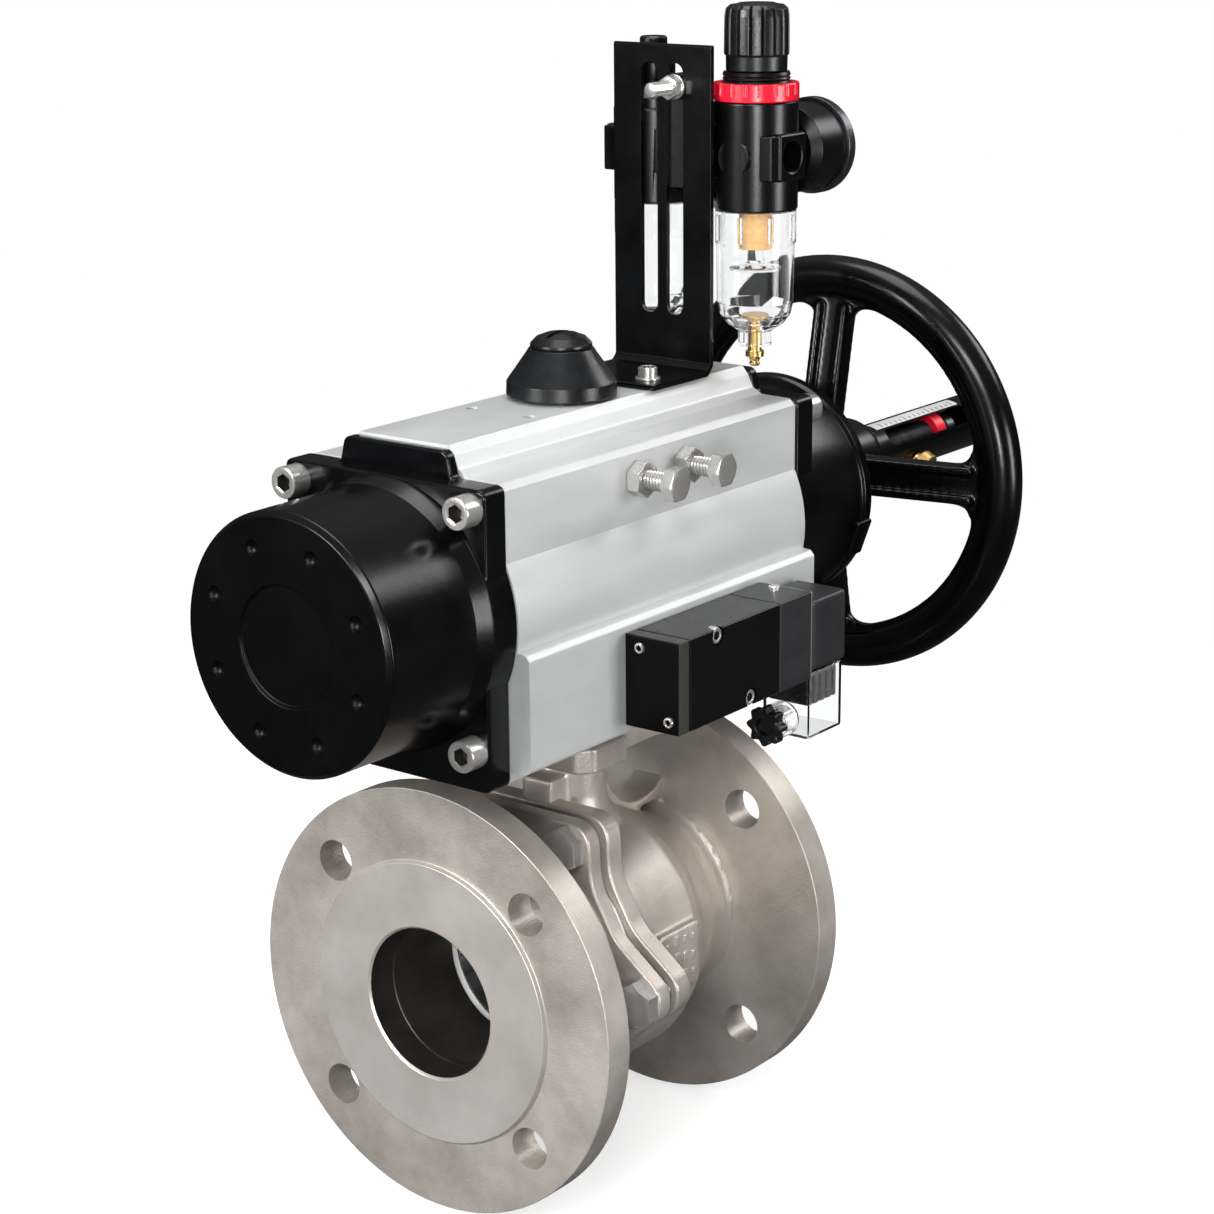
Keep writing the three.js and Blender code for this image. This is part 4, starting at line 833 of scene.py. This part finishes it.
def build_solenoid():
    cover = sol_block("valve_end_cover", -39.2, -31.8)
    # Its −y side is painted a lighter olive grey: painted sheen.
    paint_faces(cover, SHEEN_OLIVE, lambda c, n: n.y < -0.9)
    # Its −x face gets the darker, duller black: painted shade.
    paint_faces(cover, SHADE_BLACK, lambda c, n: n.x < -0.9)
    fixed(cover, "black_paint", "solenoid_end_plate")
    body = sol_block("valve_main_block", -31.5, 33)
    carve(body, *[rod("cut", SATIN, "y", (x, -92, z), 4.1, 6.5, 48) for x, z in BLOCK_SCREWS])
    fixed(body, "black_paint", "solenoid_block")
    pilot = sol_block("pilot_cover", 33.3, 57)
    paint_faces(pilot, GREY, lambda c, n: True)
    fixed(pilot, "black_paint", "pilot_block")
    for k, (x, z) in enumerate(BLOCK_SCREWS):
        fixed(socket_screw(f"block_screw_{k + 1}", "y", (x, -87.6, z), 3.5, 3.6), "plated_steel")
    for k, (y, z) in enumerate(((-69.1, 152.6), (-83.4, 123.9))):
        fixed(socket_screw(f"end_screw_{k + 1}", "x", (-40.3, y, z), 2.3, 2.1), "plated_steel")
    pin = [(153.5, 0), (153.5, 2.5), (159.2, 2.5), (159.5, 2.1), (159.5, 0)]
    button = lathe("manual_push_pin", BRIGHT, "z", (49.5, -74, 0), pin, 40, 0.2)
    place(button, "manual_push", "plated_steel", "override_button")
    yoke = block("coil_yoke", BRIGHT, 57, 58.6, -87.6, -62.4, 120.8, 157.0)
    fixed(soften(yoke, 0.4), "plated_steel")
    outline = rounded([(SOL_FRONT, 121.4), (-62.3, 121.4), (-62.3, 152.9), (SOL_FRONT, 152.9)], 2.5)
    coil = prism("coil_moulding", GREY, "x", outline, 58.7, 83.8)
    fixed(soften(coil, 1.1), "black_plastic", "solenoid_coil")
    fixed(hexagon("coil_nut", BRIGHT, "x", (83.8, SOL_Y, 140), 13, 5), "plated_steel", sharp=28)
    shell = rounded([(-87.3, 91), (-63.3, 91), (-63.3, 121), (-87.3, 121)], 1.6)
    plug = soften(prism("plug_shell", CLEAR, "x", shell, 57.3, 83), 0.7)
    carve(plug, block("cut", CLEAR, 58.7, 81.6, -85.9, -64.7, 92.4, 119.6))
    fixed(plug, "clear_plastic", "plug_housing")
    inner = block("terminal_block", PLASTIC, 59.4, 80.6, -85.2, -65.4, 105.5, 119.2)
    carve(inner, *[block("cut", PLASTIC, 62 + 5 * k, 63.4 + 5 * k, -87, -84, 104, 118) for k in range(4)])
    fixed(soften(inner, 0.5), "black_plastic")
    for k in range(3):
        screw = socket_screw(f"terminal_screw_{k + 1}", "z", (64 + 6 * k, SOL_Y, 105.1), 1.5, 2)
        fixed(screw, "plated_steel")
    neck = [(GLAND_X + 6.2, 5.2), (GLAND_X + 6.2, 7.4)]
    for k in range(9):
        neck += [(GLAND_X + 6.6 + k * 1.1, 7.7), (GLAND_X + 7.2 + k * 1.1, 7.0)]
    neck += [(57.9, 7.2), (57.9, 5.2)]
    fixed(lathe("gland_neck", CLEAR, "x", GLAND, neck, 64, 0), "clear_plastic")
    span = (GLAND_X + 1, GLAND_X + 6)
    seal = collar("gland_seal", SATIN, "x", GLAND, span, (3.6, 5.9), 48, 0.3)
    fixed(seal, "black_plastic")
    lobes = [(u + SOL_Y, v + GLAND_Z) for u, v in polar(96, lambda a: 8.0 + 1.05 * cos(8 * a))]
    nut = prism("cap_nut_blank", PLASTIC, "x", lobes, GLAND_X, GLAND_X + 6)
    carve(nut, rod("cut", PLASTIC, "x", (GLAND_X - 5, SOL_Y, GLAND_Z), 4, 8, 40))
    fixed(soften(nut, 0.9), "black_plastic", "gland_nut").name = "cable_gland_nut"


# ---------- bracket and air set ----------

UNIT_X, REG_Y, LUB_Y = 92.5, -34, 20
PORT_Z = 334
REG, LUB = (UNIT_X, REG_Y, 0), (UNIT_X, LUB_Y, 0)
GAUGE = (0, REG_Y, PORT_Z)
MOUNT_Y, MOUNT_Z = -7, 362.7
BRACKET_SCREWS = ((40, -15), (40, 15))


def slot_cut(y, low, high, half):
    """An upright slot with round ends, through the bracket's standing leg."""
    outline = []
    for start, middle in ((0, high - half), (pi, low + half)):
        for k in range(17):
            angle = start + pi * k / 16
            outline.append((y + half * cos(angle), middle + half * sin(angle)))
    return prism("cut", PAINT, "x", outline, 60, 80)


def bowl(name, y, node):
    profile = [(252, 3.4), (252, 7.2), (258.4, 7.2), (259.6, 9), (262, 12.6), (266, 15.4), (271, 16.5),
               (296, 16.8), (297, 17.4), (310.7, 17.4), (310.7, 15), (271, 14.6), (266, 13), (262.6, 9.5),
               (261.5, 3.4)]
    made = lathe(name, CLEAR, "z", (UNIT_X, y, 0), profile, 96, 0.4)
    fixed(made, "clear_plastic", node)
    for k in range(8):
        angle = k * pi / 4 + 0.2
        x, v = UNIT_X + 16.9 * cos(angle), y + 16.9 * sin(angle)
        rib = collar(f"{name}_rib_{k + 1}", CLEAR, "z", (x, v, 0), (298, 309), (0, 1.3), 16, 0.3)
        fixed(rib, "clear_plastic")


def unit_body(name, y, top, radius):
    """The body that the filter regulator and the lubricator share, with its two tapped ports."""
    made = collar(name, SATIN, "z", (UNIT_X, y, 0), (311, top), (0, radius), 96, 1.0)
    ports = soften(block("ports", SATIN, UNIT_X - 10, UNIT_X + 10, y - 19, y + 19, 324, 344), 1.4)
    fuse(made, ports)
    lug = block("lug", SATIN, UNIT_X - 14, UNIT_X - 9.5, y - 17, y + 17, 324.4, 343.6)
    fuse(made, soften(lug, 0.8))
    tap = [(-20, 0), (-20, 7.8)]
    for k in range(12):
        tap += [(-19 + k * 0.9, 7.8), (-18.55 + k * 0.9, 7.0)]
    tap += [(-8, 5.7), (20, 5.7), (20, 0)]
    carve(made, lathe("cut", SATIN, "y", (UNIT_X, y, PORT_Z), tap, 64, 0),
          rod("cut", SATIN, "z", (UNIT_X, y, 310), 8, 20, 48))
    return made


def build_air_set():
    side = [(29.5, 240.5), (69.5, 240.5), (73.5, 244.5), (73.5, 380.5), (71, 380.5), (71, 245.5),
            (68.5, 243), (29.5, 243)]
    sheet = prism("bracket_sheet", PAINT, "y", rounded(side, 2.2), -25.5, 25.5)
    cuts = [slot_cut(y, 265.5, 372.5, 4.3) for y in (-6.75, 6.75)]
    cuts += [rod("cut", PAINT, "z", (x, y, 235), 2.9, 20, 32) for x, y in BRACKET_SCREWS]
    carve(sheet, *cuts)
    fixed(soften(sheet, 0.45, 2), "black_paint", "air_set_bracket")
    for k, (x, y) in enumerate(BRACKET_SCREWS):
        washer = collar(f"bracket_washer_{k + 1}", BRIGHT, "z", (x, y, 0), (243, 244), (0, 5.4), 48, 0.2)
        fixed(washer, "plated_steel")
        screw = socket_screw(f"bracket_screw_{k + 1}", (0, 0, -1), (x, y, 248.6), 4.1, 4.6)
        fixed(screw, "plated_steel")
    stud = thread("mount_stud", BRIGHT, "x", (53, MOUNT_Y, MOUNT_Z), 3, 20, 1.0)
    fixed(stud, "plated_steel")
    nut = hexagon("mount_nut", BRIGHT, "x", (65.4, MOUNT_Y, MOUNT_Z), 9, 4.4, hole=3, both=True)
    fixed(nut, "plated_steel", sharp=28)
    washer = collar("mount_washer", BRIGHT, "x", (0, MOUNT_Y, MOUNT_Z), (69.9, 70.9), (3, 5.3), 48, 0.2)
    fixed(washer, "plated_steel")
    clamp = block("clamp_block", PLASTIC, 81.5, 103.5, -14.7, 0.7, 322, 346)
    arm = block("arm", PLASTIC, 73.6, 84, -11, -3, 324, 368)
    fuse(clamp, arm, block("wall", PLASTIC, 73.6, 76.5, -13, -1, 320, 368))
    carve(clamp, rod("cut", PLASTIC, "y", (UNIT_X, -30, PORT_Z), 5, 50, 40))
    fixed(soften(clamp, 0.8), "black_paint", "manifold_clamp")
    build_regulator()
    build_gauge()
    build_lubricator()


def build_regulator():
    regulator = unit_body("regulator_casting", REG_Y, 357, 18)
    shape = [(356, 0), (356, 14.5), (364.6, 14.5), (365.4, 13.9), (366.2, 14.5), (367, 13.9), (367.8, 14.5),
             (369, 14), (369, 8), (385, 8), (385, 0)]
    bonnet = lathe("bonnet", SATIN, "z", REG, shape, 96, 0.1)
    shape = [(75, 0), (75, 7.6), (76, 8.5), (94, 8.5), (94, 0)]
    boss = lathe("boss", SATIN, "x", GAUGE, shape, 64, 0.4)
    gauge_boss = collar("boss", SATIN, "x", GAUGE, (92, 111), (0, 9), 64, 0.6)
    fuse(regulator, bonnet, boss, gauge_boss)
    carve(regulator, rod("cut", SATIN, "z", (UNIT_X, REG_Y, 372), 3, 20, 32))
    fixed(regulator, "black_paint", "regulator_body")
    ring = [(357.1, 14.8), (357.1, 17.9), (357.6, 18.2), (364.1, 18.2), (364.6, 17.9), (364.6, 14.8)]
    red = lathe("red_lock_ring", RED, "z", REG, ring, 96, 0.2)
    spots = [(UNIT_X + u, REG_Y + v, 359.4) for u, v in polar(18, lambda a: 18.6)]
    carve(red, *[rod("cut", RED, "z", spot, 1.5, 8, 12) for spot in spots])
    fixed(red, "red_plastic", "lock_ring")
    shape = [(369.4, 9.5), (369.4, 13), (375.6, 13.1), (376.2, 13.85), (377, 13.85), (386, 13.8),
             (392, 13.7), (395, 13.2), (396.6, 11.4), (397, 8.4), (397.4, 7.6), (397.4, 0.01),
             (392, 0.01), (392, 9.5)]
    knob = lathe("pressure_knob", PLASTIC, "z", REG, shape, 192, 0.5)
    for vertex in knob.data.vertices:
        spot = vertex.co / MM - Vector(REG)
        radius = hypot(spot.x, spot.y)
        if spot.z > 375.9 and radius > 12:
            groove = max(0.0, 1 - abs(sin(8 * atan2(spot.y, spot.x))) * 2.6)
            shrink = 1 - 1.3 * groove / radius
            vertex.co.x = (UNIT_X + spot.x * shrink) * MM
            vertex.co.y = (REG_Y + spot.y * shrink) * MM
    place(knob, "set_knob", "black_plastic", "regulator_knob", sharp=30)

    bowl("filter_bowl_clear", REG_Y, "filter_bowl")
    baffle = [(285, 0), (285, 11), (286, 11.2), (288, 4), (294, 3.4), (294, 0)]
    fixed(lathe("filter_baffle", CLEAR, "z", REG, baffle, 64, 0.3), "clear_plastic")
    core = collar("filter_core", FILTER, "z", REG, (294, 320), (0, 7.2), 64, 0.5)
    fixed(core, "filter_bronze", "filter_element")
    cock = [(242.8, 0), (242.8, 1.8), (244, 2.5), (245, 1.9), (246, 2.5), (247, 1.9), (247, 4),
            (249.5, 4), (249.5, 3), (263, 3), (263, 6), (265, 6), (265, 0)]
    drain = lathe("brass_drain", BRASS, "z", REG, cock, 48, 0.15)
    place(drain, "drain", "brass", "drain_cock")


def build_gauge():
    case = [(111.3, 0), (111.3, 6), (113, 6), (113, 14.4), (115.4, 19), (133.4, 19.4), (133.4, 18.9),
            (135, 18.9), (135, 18.6), (127, 18.6), (127, 0)]
    bezel = [(133.6, 19.1), (133.6, 21), (138.4, 21), (139, 20.4), (139, 18.7), (136, 18.7)]
    fixed(lathe("gauge_bezel", OILED, "x", GAUGE, bezel, 128, 0.4), "plated_steel")
    fixed(lathe("gauge_can", SATIN, "x", GAUGE, case, 96, 0.5), "black_paint", "gauge_case")
    # The dial takes the label's grey, which is painted shade.
    dial = collar("gauge_dial", LABEL_IN_PAINTED_SHADE, "x", GAUGE, (127.1, 128.2), (0, 17.6), 96, 0.1)
    carve(dial, rod("cut", LABEL_IN_PAINTED_SHADE, "x", (126, REG_Y, PORT_Z), 2.7, 4, 32))
    fixed(dial, "black_paint")
    dial_marks(Vector((128.3, REG_Y, PORT_Z)))
    lens = collar("gauge_lens", CLEAR, "x", GAUGE, (136.4, 137.6), (0, 17.9), 96, 0.2)
    fixed(lens, "clear_plastic")


def dial_marks(centre):
    """Eleven ticks over 270 degrees, with a plain number at every other one."""
    for k in range(11):
        angle = radians(225 - 27 * k)
        direction = Vector((0, cos(angle), sin(angle)))
        across = Vector((0, -direction.z, direction.y))
        start = 12.6 if k % 2 == 0 else 14.2
        corners = ((start, -0.3), (16, -0.3), (16, 0.3), (start, 0.3))
        tick = [centre + direction * r + across * s for r, s in corners]
        fixed(mesh(f"dial_tick_{k + 1}", tick, [[0, 1, 2, 3]], INK), "black_plastic")
        if k % 2 == 0:
            text = bpy.data.curves.new(f"dial_number_{k // 2}", "FONT")
            text.body = str(k // 2 * 2)
            text.size = 3.6 * MM
            text.align_x = text.align_y = "CENTER"
            number = show(f"dial_number_{k // 2}", text)
            turn = Matrix(((0, 0, 1), (1, 0, 0), (0, 1, 0))).to_4x4()
            spot = centre + direction * 9.8 + Vector((0.05, 0, 0))
            number.matrix_world = Matrix.Translation(spot * MM) @ turn
            text.materials.append(INK)
            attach(number, "housing")


def build_lubricator():
    bowl("lubricator_bowl_clear", LUB_Y, "lubricator_bowl")
    plug = [(249, 0), (249, 4.4), (252, 4.4), (252, 3.2), (262, 3.2), (262, 0)]
    plug_piece = lathe("lubricator_plug", PLASTIC, "z", LUB, plug, 40, 0.3)
    fixed(plug_piece, "black_plastic")
    lubricator = unit_body("lubricator_casting", LUB_Y, 352, 17.5)
    shape = [(350, 0), (350, 14), (356, 14), (360, 9.5), (371.5, 9.5), (371.5, 0)]
    fuse(lubricator, lathe("crown", SATIN, "z", LUB, shape, 96, 1.0))
    fixed(lubricator, "black_paint", "lubricator_body")
    shape = [(371.8, 0), (371.8, 6), (380.9, 6), (381.7, 5.2), (381.7, 0)]
    feed = lathe("feed_dial", PLASTIC, "z", LUB, shape, 64, 0.4)
    carve(feed, block("cut", PLASTIC, UNIT_X - 5, UNIT_X + 5, LUB_Y - 0.6, LUB_Y + 0.6, 380.4, 384))
    place(feed, "feed", "black_plastic", "feed_knob")


# ---------- stage ----------

FLOOR_Z, FLOOR_HALF = -93.2, 30000


def seen_directly(tree):
    """One where the eye sees a surface straight or through a clear piece, nought in a reflection."""
    rays = add(tree, "LightPath")
    either = add(tree, "Math")
    either.operation = "MAXIMUM"
    tree.links.new(rays.outputs["Is Camera Ray"], either.inputs[0])
    tree.links.new(rays.outputs["Is Transmission Ray"], either.inputs[1])
    return either.outputs["Value"]


def mixed(tree, factor, first, second):
    """Goes from the first shader to the second as the factor goes from nought to one."""
    mix = add(tree, "MixShader")
    for socket, source in zip(mix.inputs, (factor, first, second)):
        tree.links.new(source, socket)
    return mix.outputs["Shader"]


def floor_finish():
    """A pale floor: seen directly it is near white with a soft shadow, and it throws little light back."""
    mat = material("floor", (0.05, 0.05, 0.05), (0.055, 0.055, 0.055), 0.9, grain=(40, 0.0), gloss=0.0)
    tree = mat.node_tree
    link = tree.links.new
    pale = add(tree, "BsdfDiffuse", Color=(0.55, 0.55, 0.55, 1))
    glow = add(tree, "Emission", Color=(1, 1, 1, 1), Strength=0.62)
    near = add(tree, "AddShader")
    link(pale.outputs["BSDF"], near.inputs[0])
    link(glow.outputs["Emission"], near.inputs[1])
    far = add(tree, "Emission", Color=(1, 1, 1, 1))
    reach = add(tree, "VectorMath")
    reach.operation = "LENGTH"
    link(add(tree, "TexCoord").outputs["Object"], reach.inputs[0])
    fade = add(tree, "MapRange", From_Min=0.25, From_Max=0.9)
    link(reach.outputs["Value"], fade.inputs["Value"])
    bright = mixed(tree, fade.outputs["Result"], near.outputs["Shader"], far.outputs["Emission"])
    dull = tree.nodes["Principled BSDF"].outputs["BSDF"]
    link(mixed(tree, seen_directly(tree), dull, bright), tree.nodes["Material Output"].inputs["Surface"])
    return mat


def build_world(scene):
    """A dim room that is brighter overhead, with a white backdrop where it is seen directly."""
    world = bpy.data.worlds.new("studio")
    scene.world = world
    world.use_nodes = True
    tree = world.node_tree
    link = tree.links.new
    split = add(tree, "SeparateXYZ")
    ramp = add(tree, "ValToRGB")
    low, high = ramp.color_ramp.elements
    low.position, low.color = 0.0, (0.05, 0.05, 0.052, 1)
    high.position, high.color = 0.9, (0.50, 0.50, 0.51, 1)
    ramp.color_ramp.elements.new(0.4).color = (0.10, 0.10, 0.103, 1)
    link(add(tree, "TexCoord").outputs["Generated"], split.inputs["Vector"])
    link(split.outputs["Z"], ramp.inputs["Fac"])
    room = tree.nodes["Background"]
    link(ramp.outputs["Color"], room.inputs["Color"])
    backdrop = add(tree, "Background", Color=(1, 1, 1, 1))
    seen = mixed(tree, seen_directly(tree), room.outputs["Background"], backdrop.outputs["Background"])
    link(seen, tree.nodes["World Output"].inputs["Surface"])


def build_lamps():
    """Soft rectangular lamps, placed in metres."""
    def lamp(name, spot, size, power, target=(0, 0, 0.15)):
        data = bpy.data.lights.new(name, "AREA")
        data.shape = "RECTANGLE"
        data.size, data.size_y = size
        data.energy = power
        made = show(name, data)
        made.location = spot
        made.rotation_mode = "QUATERNION"
        made.rotation_quaternion = (Vector(target) - Vector(spot)).to_track_quat("-Z", "Y")

    lamp("key", (-1.6, -0.9, 1.3), (0.8, 0.6), 32)
    lamp("side", (0.4, -1.8, 0.15), (0.5, 0.9), 24)
    lamp("left", (-1.6, 0.5, 0.7), (0.5, 0.6), 36)
    lamp("back", (1.4, -0.75, 1.1), (0.9, 0.5), 9)
    lamp("top", (0.1, 0.1, 1.9), (1.1, 1.1), 22)
    lamp("fill", (-1.5, -1.2, 0.3), (0.35, 0.35), 20, (0, 0, 0.1))


def build_camera(scene):
    """The photograph's camera, in metres, as it was fitted to the two flanges."""
    data = bpy.data.cameras.new("camera")
    data.sensor_width = 36
    data.lens = 81.62
    camera = show("camera", data)
    right = Vector((0.60553, -0.79578, -0.00790))
    up = Vector((0.22120, 0.15877, 0.96222))
    back = Vector((-0.76446, -0.58440, 0.27217))
    turn = Matrix((right, up, back)).transposed().to_4x4()
    camera.matrix_world = Matrix.Translation((-0.884872, -0.699270, 0.468039)) @ turn
    scene.camera = camera


def build_stage():
    scene = bpy.context.scene
    scene.view_settings.view_transform = "Standard"
    corners = [(x * FLOOR_HALF, y * FLOOR_HALF, FLOOR_Z) for x, y in ((-1, -1), (1, -1), (1, 1), (-1, 1))]
    mesh("floor", corners, [[0, 1, 2, 3]], floor_finish())
    build_world(scene)
    build_lamps()
    build_camera(scene)


# ---------- the whole scene ----------

slots = {row["node"]: row["material_slot"] for row in frame["record"]["subparts"]}
for name, node in frame["nodes"].items():
    node.data.materials.clear()
    node.data.materials.append(FOR_SLOT[slots[name]])

build_valve()
build_actuator()
build_override()
build_solenoid()
build_air_set()
build_stage()
